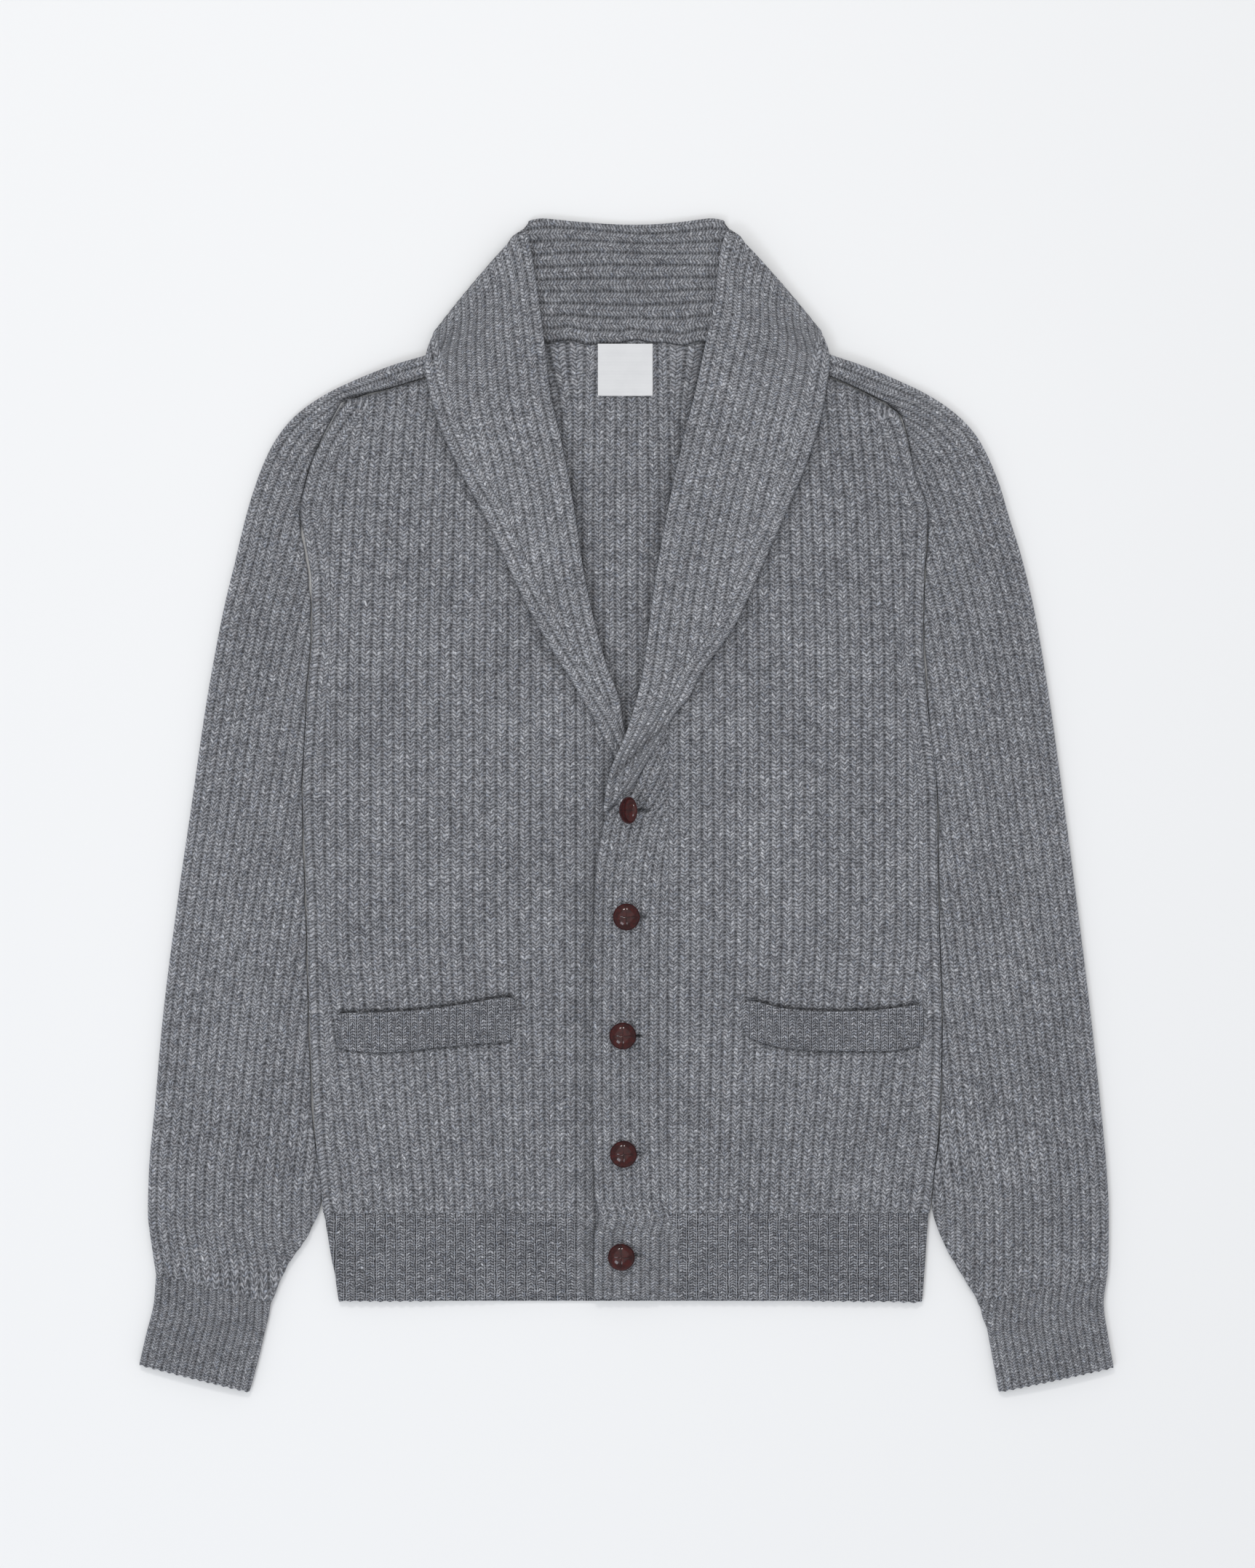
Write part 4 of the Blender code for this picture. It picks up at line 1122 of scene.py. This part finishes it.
def hem_back(material):
    levels = HEM_BOTTOM + (HEM_TOP - HEM_BOTTOM) * spaced(HEM_TOP - HEM_BOTTOM, 3.0)
    inset = BACK_INSET + SEAM_GAP / 2 - BACK_SPREAD
    right = read(BODY_SIDE, "right_x", levels) + inset
    left = read(BODY_SIDE, "left_x", levels) - inset
    grid = raised(strip(levels, right, left, spaced(HEM_BACK_WIDTH, HEM_BACK_STEP)), back_height)
    x, y = grid[..., 0], grid[..., 1]
    knit = face(x / HEM_PITCH, -y / HEM_COURSE, HEM_RELIEF)
    made = shell("hem_back_rib", grid, -1, knit, material, rims=(RIM, RIM, RIM, 0), proud=0.0)
    finish_cloth("hem_back")


def band_seam(y):
    """Where the left band is sewn to the left front and its hem."""
    return BAND_LEFT_SEAM + (BAND_LEFT_SEAM_AT_HEM - BAND_LEFT_SEAM) * ease(y, HEM_TOP, -312.0)


def band_levels(top):
    """Levels of a band's rows: even, and close together at the buttonholes and the hem."""
    length = top - HEM_BOTTOM
    levels = list(HEM_BOTTOM + length * spaced(length, 3.4))
    for row in BUTTONS:
        levels += list(row.y + np.arange(-6.0, 6.1, 0.6))
    return np.unique(np.round(levels, 2))


def band_left(material):
    """The upper band. Its ribs run along it and pucker round the slits where the buttons come through."""
    neck = neck_line(COLLAR_LEFT, 2 * NECK_GAP)
    edge = [[row.x, row.y] for row in BAND_LEFT_EDGE]
    edge += [list(p) for p in neck if p[1] < BAND_LEFT_TOP - 4]
    edge.append([BAND_LEFT_SEAM - BAND_TOP_WIDTH, BAND_LEFT_TOP])
    edge = np.array(edge)
    levels = band_levels(BAND_LEFT_TOP)
    free = through(edge[:, 1], edge[:, :1], levels)[:, 0]
    shares = spaced(BAND_LEFT_WIDTH, BAND_LEFT_STEP)
    grid = raised(strip(levels, free, band_seam(levels) + SEAM_OVERLAP, shares), overlap_height)
    x, y = grid[..., 0], grid[..., 1]
    dip = np.zeros(x.shape)
    # Painted shade along the seam and in the buttonhole slits.
    dark = painted_seam_shade(x - grid[:, -1:, 0])
    for row in BUTTONS:
        run = ease(x, row.x - 4, row.x) * ease(x, row.x + SLIT_END + 1, row.x + SLIT_END - 6)
        half = SLIT_HALF * ease(x, row.x + SLIT_END + 3, row.x + 6) + 0.35
        dip += run * groove(y - row.y, half, SLIT_DEPTH)
        dark = dark + run * groove(y - row.y, half * 1.15, 0.97)
        reach = np.hypot((x - row.x) / 1.5, y - row.y)
        dip += groove(reach, 13.0, 0.8)
    rib = (x - free[:, None]) / BAND_PITCH
    grid[..., 1] = uneven_hem(grid, HEM_EDGE_LEFT, rib)
    border = (rib, -y / HEM_COURSE, y < HEM_TOP)
    knit = face(rib, y / BODY_COURSE, 1.3, border, np.maximum(1 - dark, 0.02))
    knit = knit._replace(height=knit.height - dip)
    made = shell("band_left_knit", grid, 1, knit, material, rims=(RIM, SEAM_RIM, RIM, RIM))
    finish_cloth("band_left")


def band_right(material):
    """The lower band, which carries the buttons."""
    neck = neck_line(COLLAR_RIGHT, NECK_GAP)
    edge = [[BAND_RIGHT_EDGE, HEM_BOTTOM], [BAND_RIGHT_EDGE, -100.0], [BAND_RIGHT_EDGE, -5.0], [4.0, 18.0]]
    edge += [list(p) for p in neck if p[1] < BAND_RIGHT_TOP - 4]
    edge.append([BAND_RIGHT_SEAM + BAND_TOP_WIDTH, BAND_RIGHT_TOP])
    edge = np.array(edge)
    length = BAND_RIGHT_TOP - HEM_BOTTOM
    levels = HEM_BOTTOM + length * spaced(length, 3.6)
    free = through(edge[:, 1], edge[:, :1], levels)[:, 0]
    seam = np.full(len(levels), BAND_RIGHT_SEAM - SEAM_OVERLAP)
    grid = raised(strip(levels, seam, free, spaced(BAND_RIGHT_WIDTH, BAND_RIGHT_STEP)), front_height)
    x, y = grid[..., 0], grid[..., 1]
    rib = (x - BAND_RIGHT_SEAM) / BAND_PITCH
    grid[..., 1] = uneven_hem(grid, HEM_EDGE_RIGHT, rib)
    # Painted shade along the seam and painted shadow beside the upper band's edge and the crossing collar's
    # roll.
    dark = painted_seam_shade(x - BAND_RIGHT_SEAM)
    dark += edge_shadow(grid, [(row.x, row.y) for row in BAND_LEFT_EDGE], roll_line(COLLAR_LEFT))
    knit = face(rib, y / BODY_COURSE, 1.3, (rib, -y / HEM_COURSE, y < HEM_TOP), 1 - dark)
    made = shell("band_right_knit", grid, 1, knit, material, rims=(SEAM_RIM, RIM, RIM, RIM))
    finish_cloth("band_right")


def tube_section(row):
    """Middle points round a flattened sleeve, from its front inner end over its outer edge to its back."""
    outer = np.array([row.outer_x, row.outer_y])
    inner = np.array([row.inner_x, row.inner_y])
    way = (inner - outer) / np.linalg.norm(inner - outer)
    inner = inner + way * SEAM_OVERLAP * row.closed
    width = np.linalg.norm(inner - outer)
    radius = (LAYER + 0.3 * row.crown) / 2
    seam_radius = (FRONT_Z - BACK_Z) / 2 + 0.35 * row.closed
    turn = WALL / 2 + radius
    seam_turn = width - WALL / 2 - seam_radius
    section = []

    def seam_side(angles, height):
        for k, angle in enumerate(angles):
            open_s = seam_turn + (width - seam_turn) * k / (len(angles) - 1)
            closed_s = seam_turn + seam_radius * math.cos(angle)
            closed_z = BACK_Z + seam_radius + seam_radius * math.sin(angle)
            section.append(
                (open_s + (closed_s - open_s) * row.closed, height + (closed_z - height) * row.closed)
            )

    top = FRONT_Z
    seam_side([math.pi / 2, math.pi / 4, 0.16], top)
    section.reverse()
    for share in (0.84, 0.66, 0.48, 0.3, 0.14):
        s = turn + (seam_turn - turn) * share
        base = top + (2 * radius - LAYER) * (1 - share) + 2 * (seam_radius - LAYER / 2) * share * row.closed
        section.append((s, base + row.crown * math.sin(math.pi * share) ** 0.8))
    front_count = len(section)
    for angle in np.linspace(math.pi / 2, 1.5 * math.pi, 5):
        section.append((turn + radius * math.cos(angle), BACK_Z + radius + radius * math.sin(angle)))
    for share in (0.35, 0.7):
        section.append((turn + (seam_turn - turn) * share, BACK_Z))
    seam_side([-math.pi / 2, -math.pi / 4, -0.16], BACK_Z)
    points = []
    for s, z in section:
        x, y = outer + way * s
        points.append((x, y, z + float(lift(x, y))))
    return points, front_count + 2


def tube_grid(table, row_step):
    """A tube's grid, its outermost line in the middle, and how open its inner side is at each row."""
    length = lengths([(row.outer_x, row.outer_y) for row in table])[-1]
    rows = along([tuple(r) for r in table], spaced(length, row_step))
    grid = []
    for values in rows:
        section, outermost = tube_section(SleeveRow(*values))
        front = resample(section[: outermost + 1], TUBE_HALF)
        behind = resample(section[outermost:], TUBE_HALF)
        grid.append(np.concatenate([front, behind[1:]]))
    grid = np.array(grid)
    return grid, 1 - np.clip(rows[:, 4:5], 0, 1)


def tube_counts(grid):
    """Distance round a tube from its outermost line, and distance along that line."""
    outermost = grid.shape[1] // 2
    reach = run_length(grid, 1)
    lengthwise = run_length(grid, 0)[:, outermost : outermost + 1] * np.ones(grid.shape[1])
    return reach - reach[:, outermost : outermost + 1], lengthwise


def sleeve(name, side, table, material):
    """A sleeve with its strap. Its ribs follow the outer edge and end on the inner seam."""
    grid, is_open = tube_grid(table, STEP_ALONG)
    grid[..., 2] += sleeve_folds(grid, side)
    reach, lengthwise = tube_counts(grid)
    # Painted shade along the inner seams, at both ends of the section.
    dark = groove(reach - reach[:, :1], 1.0, 0.45) + groove(reach[:, -1:] - reach, 1.0, 0.4)
    knit = face(reach / SLEEVE_PITCH, lengthwise / BODY_COURSE, BODY_RELIEF, shade=1 - dark)
    outward = -1 if side == "right" else 1
    made = shell(name + "_knit", grid, outward, knit, material, rims=(RIM * is_open, RIM * is_open, 0, RIM))
    finish_cloth(name)


def sleeve_folds(grid, side):
    """Shallow creases across the elbow and above the cuff, only on the upper half of the tube."""
    x, y, z = grid[..., 0], grid[..., 1], grid[..., 2]
    upper = ease(z, 3.0, 6.0)
    total = np.zeros(x.shape)
    for row in SLEEVE_CREASES:
        at_x = getattr(row, side + "_x")
        slope = row.slope if side == "left" else -row.slope
        across = (y - row.y) - slope * (x - at_x)
        lengthwise = ease(np.abs(x - at_x), row.reach, 0.0)
        total += row.height * np.exp(-((across / row.width) ** 2)) * lengthwise
    return total * upper


def cuff(name, side, table, material):
    """A cuff in the body's rib, with its stitches the other way up and a scallop at the end of each rib."""
    grid, _ = tube_grid(table, CUFF_STEP)
    reach, lengthwise = tube_counts(grid)
    end = grid[-1] - grid[-2]
    end = end / np.linalg.norm(end, axis=1, keepdims=True)
    near_end = ease(lengthwise, lengthwise.max() - 8.0, lengthwise.max())[..., None]
    scallop = 0.5 * np.cos(FULL_TURN * reach / CUFF_PITCH)[..., None]
    grid = grid + end * near_end * scallop
    grid[0] -= end * CUFF_OVERLAP
    shade = np.full(reach.shape, CUFF_SHADE)
    knit = face(reach / CUFF_PITCH, -lengthwise / CUFF_COURSE, CUFF_RELIEF, shade=shade)
    outward = 1 if side == "right" else -1
    made = shell(name + "_rib", grid, outward, knit, material, rims=(0, 0, 0, RIM))
    finish_cloth(name)


def collar_section(row, height):
    """Middle points across the collar: up the hidden stand, round the roll and down the fall."""
    roll = np.array([row.roll_x, row.roll_y])
    edge = np.array([row.edge_x, row.edge_y])
    width = np.linalg.norm(edge - roll)
    way = (edge - roll) / width
    radius = row.roll / 2
    turn = WALL / 2 + radius
    stand_z = float(front_height(row.roll_x, row.roll_y)) + row.rise
    top = stand_z + row.roll
    neck = roll + way * row.stand
    neck_z = float(height(neck[0], neck[1]))
    flat = min(turn + 2.0, row.stand * 0.5)
    section = [(row.stand, neck_z)]
    for share in (0.55, 0.0):
        s = flat + (row.stand - flat) * share
        section.append((s, stand_z + (neck_z - stand_z) * float(ease(s, flat, row.stand))))
    for angle in np.linspace(-0.5 * math.pi, -1.5 * math.pi, 7):
        section.append((turn + radius * math.cos(angle), stand_z + radius + radius * math.sin(angle)))
    for share in (0.12, 0.34, 0.6, 0.84, 1.0):
        s = turn + (width - turn) * share
        x, y = roll + way * s
        lying = float(height(x, y, FALL_LEAD)) + LAYER
        section.append((s, top + (lying - top) * float(ease(share, 0.05, 0.62))))
    return [(*(roll + way * s), z) for s, z in section]


def round_corners(grid):
    """Rounds the collar's top corners, where the stand meets the falls."""
    x, y = grid[..., 0], grid[..., 1]
    grid[..., 1] = y - CORNER_DROP * ease(np.abs(x), 56.0, 80.0) ** 1.5 * ease(y, 413.0, COLLAR_TOP)


def collar_front(name, side, table, height, material):
    """One side of the collar. The fall's ribs run along the roll, and two more follow its free edge."""
    length = lengths(roll_line(table))[-1]
    rows = along([tuple(r) for r in table], spaced(length, 3.4))
    grid = []
    for values in rows:
        section = collar_section(CollarRow(*values), height)
        stand = resample(section[: ROLL_POINT + 1], STAND_COLUMNS)
        fall = resample(section[ROLL_POINT:], FALL_COLUMNS)
        grid.append(np.concatenate([stand, fall[1:]]))
    grid = np.array(grid)
    at_roll = STAND_COLUMNS - 1
    fall = np.clip((np.arange(grid.shape[1]) - at_roll) / (FALL_COLUMNS - 1), 0, 1)
    from_tip = run_length(grid, 0)
    from_end = from_tip[-1:] - from_tip
    if side == "left":
        grid[..., 2] -= TIP_SINK * ease(from_tip, 12.0, 0.0)
    grid[..., 2] -= COLLAR_END_DROP * ease(from_end, 9.0, 0.0) * ease(fall, 0.1, 0.6)
    outward = np.array([-0.76 if side == "right" else 0.76, 0.65])
    corner = ease(fall, 0.10, 0.0) + ease(fall, 0.90, 1.0)
    swell = (SIDE_BULGE * np.sin(math.pi * fall) - SIDE_ROUND * corner) * ease(from_end, 26.0, 0.0)
    grid[..., :2] += swell[..., None] * outward
    round_corners(grid)
    reach = run_length(grid, 1)
    edge_distance = reach[:, -1:] - reach
    reach = reach - reach[:, at_roll : at_roll + 1]
    up = run_length(grid, 0)
    course = up[:, at_roll : at_roll + 1] * np.ones(grid.shape[1]) / FALL_COURSE
    edge_course = up[:, -1:] * np.ones(grid.shape[1]) / FALL_COURSE
    border = (edge_distance / FALL_PITCH, edge_course, edge_distance < BORDER_RIBS * FALL_PITCH)
    shade = np.ones(reach.shape)
    if side == "right":
        shade -= edge_shadow(grid, roll_line(COLLAR_LEFT))
    if side == "left":
        # Painted shade along the gorge seam, broken into its stitches.
        distance, place = nearest_on(along(np.array(GORGE), np.linspace(0, 1, 120)), grid)
        stitches = 0.75 + 0.25 * np.sin(FULL_TURN * place / GORGE_STITCH)
        on_top = ease(grid[..., 2], FRONT_Z + LAYER, FRONT_Z + 2 * LAYER)
        shade -= groove(distance, 1.5, 0.72) * stitches * on_top
    knit = face(reach / FALL_PITCH, course, FALL_RELIEF, border, shade)
    made = shell(name + "_knit", grid, 1 if side == "left" else -1, knit, material)
    finish_cloth(name)


def collar_back(material):
    """Behind the neck: the stand rises from the neck seam and folds into the fall under the shoulders."""
    radius = LAYER / 2
    profile = [(y, FRONT_Z, 1.0) for y in np.linspace(NECK_SEAM, COLLAR_TOP - 6.0, 4)]
    for angle in np.linspace(math.pi / 2, -math.pi / 2, 5)[1:-1]:
        y = COLLAR_TOP - WALL / 2 - radius + radius * math.cos(angle)
        profile.append((y, BACK_Z + radius + radius * math.sin(angle), 1.0))
    profile += [(y, BACK_Z, 0.0) for y in (COLLAR_TOP - 5.0, 396.0, 364.0, 338.0, 322.0, 312.0)]
    profile = resample(profile, 196)
    shares = 2 * spaced(150.0, 2.2) - 1
    grid = []
    for y, z, stand in profile:
        level = np.clip(y, COLLAR_BACK[0].y, COLLAR_BACK[-1].y)
        stand_half = read(COLLAR_BACK, "stand_half", level)
        fall_half = read(COLLAR_BACK, "fall_half", level)
        half = fall_half + (stand_half - fall_half) * stand
        grid.append([(half * share, y, z) for share in shares])
    grid = np.array(grid)
    x, y, z = grid[..., 0], grid[..., 1], grid[..., 2]
    down = run_length(grid, 0)
    on_stand = ease(z, BACK_Z + 0.5, FRONT_Z)
    dip = TOP_DIP * (1 - (x / 62.0) ** 2) * ease(y, 395.0, COLLAR_TOP)
    wave = 0.9 * np.sin(x / 17.0 + y / 40.0) * ease(y, NECK_SEAM, 380.0)
    grid[..., 1] = y - dip + (wave + neck_wander(x) * ease(y, NECK_SEAM + 30.0, NECK_SEAM)) * on_stand
    grid[..., 0] = x * (1 - 0.035 * ease(y, 412.0, COLLAR_TOP))
    round_corners(grid)
    # Painted shade along the neck seam.
    first = down[:, :1] * np.ones(x.shape)
    shade = STAND_SHADE - groove(first, 1.0, 0.5)
    uneven = down + 1.2 * np.sin(x / 23.0 + down / 14.0)
    knit = face(uneven / STAND_PITCH, x / STAND_COURSE, 1.6, shade=shade)
    made = shell("collar_back_knit", grid, 1, knit, material)
    finish_cloth("collar_back")


def welt(name, table, material):
    """A pocket's welt: short ribs across it and a rolled top edge."""
    width = table[-1].x - table[0].x
    across = table[0].x + width * spaced(width, WELT_WIDTH_STEP)
    top = welt_edge(table, "top", across)
    bottom = welt_edge(table, "bottom", across)
    corner = groove(np.minimum(across - across[0], across[-1] - across), 5.0, 1.0)
    top = top - 1.6 * corner**2
    bottom = bottom + 3.4 * corner**2
    up = spaced(WELT_HEIGHT, 2.0)[:, None]
    x = np.repeat(across[None], len(up), axis=0)
    y = bottom[None] + (top - bottom)[None] * up
    roll = groove(1 - up, 0.13, 1.0)
    z = front_height(x, y) + LAYER + roll + 0.25 * np.sin(math.pi * up)
    grid = np.dstack([x, y, z])
    # Painted light along the rolled top edge.
    knit = face(x / WELT_PITCH, -y / WELT_COURSE, 1.3, shade=1 + 0.12 * roll * np.ones(x.shape))
    made = shell(name + "_rib", grid, 1, knit, material)
    finish_cloth(name)


def label(material):
    """A plain woven label, sewn along its top, with its lower corners lifting a little."""
    half = LABEL_WIDTH / 2
    levels = NECK_SEAM - 2.0 - LABEL_HEIGHT + LABEL_HEIGHT * spaced(LABEL_HEIGHT, 1.0)
    shares = spaced(LABEL_WIDTH, 1.0)
    start = np.full(len(levels), LABEL_CENTRE_X - half)
    flat = strip(levels, start, start + LABEL_WIDTH, shares)
    above = WALL / 2 + GAP + LABEL_WALL / 2
    grid = raised(flat, lambda x, y: back_height(x, y) + above)
    x, y = grid[..., 0], grid[..., 1]
    corner = np.abs(x - LABEL_CENTRE_X) / half
    low = ease(y, levels[0] + 9.0, levels[0])
    grid[..., 2] += 0.9 * low * corner**3 + 0.25 * np.sin(x * 0.5) * low + 0.12 * np.sin(y * 0.9)
    stitch_row = np.minimum(np.abs(y - levels[-1] + 2.2), np.minimum(np.abs(y - levels[0] - 2.2), 9.0))
    stitches = groove(stitch_row, 0.6, 1.0) * (0.5 + 0.5 * np.sin(FULL_TURN * x / 2.4))
    knit = Face(x, y, -0.22 * stitches, x, y, np.zeros(x.shape, bool), 1 - 0.25 * stitches)
    rims = (0.5,) * 4
    made = shell("neck_label_satin", grid, 1, knit, material, rims, thickness=LABEL_WALL, proud=0.0)
    finish_cloth("neck_label")


def button(number, row, material):
    """A domed button, with two crossed grooves like a leather one, on its shank."""
    band_top = float(overlap_height(row.x, row.y)) + WALL / 2
    foot = FRONT_Z + WALL / 2 + GAP
    turn = math.radians(row.turn)
    seat = band_top + SHANK_GAP - BUTTON_SINK + BUTTON_RADIUS * math.sin(turn) * 0.97
    profile = []
    for angle in np.linspace(math.pi / 2, -0.30 * math.pi, 26):
        radius = BUTTON_RADIUS * max(math.cos(angle), 0.0) ** 0.92
        dome = BUTTON_HEIGHT - BUTTON_EDGE if angle > 0 else BUTTON_EDGE
        profile.append((radius, BUTTON_EDGE + dome * math.sin(angle)))
    shank = 1.2 if row.turn else seat - foot
    profile += [(SHANK_RADIUS * 1.5, 0.1), (SHANK_RADIUS, -0.4), (SHANK_RADIUS, -shank), (0.0, -shank)]
    angles = np.linspace(0, FULL_TURN, BUTTON_STEPS, endpoint=False) + math.radians(6.0 * number)
    points = []
    shade = []
    for radius, z in profile:
        x, y = radius * np.cos(angles), radius * np.sin(angles)
        dip = np.zeros(BUTTON_STEPS)
        if z > BUTTON_EDGE:
            across = np.minimum(np.abs(x), np.abs(y))
            inside = ease(radius, BUTTON_RADIUS * 0.97, BUTTON_RADIUS * 0.8)
            dip = groove(across, 0.34, BUTTON_GROOVE) * inside
        points.append(np.stack([x, y, z - dip], axis=1))
        # Painted shade in the crossed grooves.
        shade.append(1 - 1.8 * dip)
    points = np.concatenate(points)
    if row.turn:
        head = points.copy()
        points[:, 0] = head[:, 0] * math.cos(turn) - head[:, 2] * math.sin(turn)
        points[:, 2] = head[:, 0] * math.sin(turn) + head[:, 2] * math.cos(turn)
    points += (row.x, row.y, seat)
    faces = []
    last = (len(profile) - 1) * BUTTON_STEPS
    for low in range(0, last, BUTTON_STEPS):
        high = low + BUTTON_STEPS
        for k in range(BUTTON_STEPS):
            n = (k + 1) % BUTTON_STEPS
            faces.append([low + k, high + k, high + n, low + n])
    faces.append(list(range(last + BUTTON_STEPS - 1, last - 1, -1)))
    made = place_mesh(f"button_{number}_gloss", points, faces, material)
    write_shade(made.data, np.concatenate(shade))
    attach(made, "root")
    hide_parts(f"button_{number}")


# Lights, in metres and watts.
Light = namedtuple("Light", "name place size power colour target")
LIGHTS = rows_of(
    Light,
    ("overhead", (-0.06, 0.05, 3.0), (3.8, 3.4), 26.0, (1.0, 0.99, 0.98), (0.0, 0.0, 0.0)),
    ("top_window", (-0.45, 1.6, 2.2), (0.6, 0.30), 14.0, (1.0, 0.99, 0.97), (0.0, 0.1, 0.0)),
    ("low_window", (-0.95, -1.5, 2.2), (0.7, 0.7), 12.0, (0.86, 0.92, 1.0), (0.0, 0.0, 0.0)),
)
WORLD_COLOUR = (0.95, 0.97, 1.0, 1.0)
WORLD_STRENGTH = 0.70
# The floor reaches this far each way and lies just under the cloth.
FLOOR_REACH = 4000.0
FLOOR_Z = -0.6
# The camera, in metres, apart from its sensor in millimetres: the frame's height is taken on the floor.
SENSOR = 36.0
CAMERA_HEIGHT = 2.6
FRAME_HEIGHT = 1.1427
CAMERA_X = 0.0008
CAMERA_Y = 0.0154


def area_light(name, place, size, power, colour, target):
    light = bpy.data.lights.new(name, "AREA")
    light.shape = "RECTANGLE"
    light.size, light.size_y = size
    light.energy = power
    light.color = colour
    lamp = bpy.data.objects.new(name, light)
    lamp.location = place
    direction = mathutils.Vector(target) - mathutils.Vector(place)
    lamp.rotation_euler = direction.to_track_quat("-Z", "Y").to_euler()
    bpy.context.scene.collection.objects.link(lamp)


def stage():
    """A pale floor, soft light from overhead and the top of the picture, and the camera straight above."""
    corners = [(x * FLOOR_REACH, y * FLOOR_REACH, FLOOR_Z) for x, y in ((-1, -1), (1, -1), (1, 1), (-1, 1))]
    place_mesh("floor", corners, [[0, 1, 2, 3]], floor_material())
    for light in LIGHTS:
        area_light(*light)
    world = bpy.data.worlds.new("studio")
    world.use_nodes = True
    background = world.node_tree.nodes["Background"].inputs
    background["Color"].default_value = WORLD_COLOUR
    background["Strength"].default_value = WORLD_STRENGTH
    bpy.context.scene.world = world
    bpy.context.scene.view_settings.view_transform = "Standard"
    view = bpy.data.cameras.new("camera")
    view.sensor_width = SENSOR
    view.lens = SENSOR * CAMERA_HEIGHT / FRAME_HEIGHT
    camera = bpy.data.objects.new("camera", view)
    camera.location = (CAMERA_X, CAMERA_Y, CAMERA_HEIGHT)
    bpy.context.scene.collection.objects.link(camera)
    bpy.context.scene.camera = camera


def build():
    body = knit_material("body_knit", BODY_YARN)
    fine = knit_material("fine_rib", RIB_YARN)
    fall = knit_material("collar_knit", FALL_YARN)
    stage()
    back(body)
    hem_back(fine)
    right_neck = neck_line(COLLAR_RIGHT, NECK_GAP)
    left_neck = neck_line(COLLAR_LEFT, NECK_GAP)
    front("front_right", "right", right_neck, BAND_RIGHT_SEAM, BAND_RIGHT_TOP, WELT_RIGHT, body)
    front("front_left", "left", left_neck, BAND_LEFT_SEAM, BAND_LEFT_TOP, WELT_LEFT, body)
    hem("hem_right", "right", BAND_RIGHT_SEAM, fine)
    hem("hem_left", "left", BAND_LEFT_SEAM, fine)
    band_right(body)
    band_left(body)
    sleeve("sleeve_right", "right", SLEEVE_RIGHT, body)
    sleeve("sleeve_left", "left", SLEEVE_LEFT, body)
    cuff("cuff_right", "right", CUFF_RIGHT, body)
    cuff("cuff_left", "left", CUFF_LEFT, body)
    collar_back(fall)
    collar_front("collar_right", "right", COLLAR_RIGHT, front_height, fall)
    collar_front("collar_left", "left", COLLAR_LEFT, overlap_height, fall)
    welt("pocket_welt_right", WELT_RIGHT, fine)
    welt("pocket_welt_left", WELT_LEFT, fine)
    label(label_material())
    gloss = button_material()
    for number, row in enumerate(BUTTONS, start=1):
        button(number, row, gloss)


build()
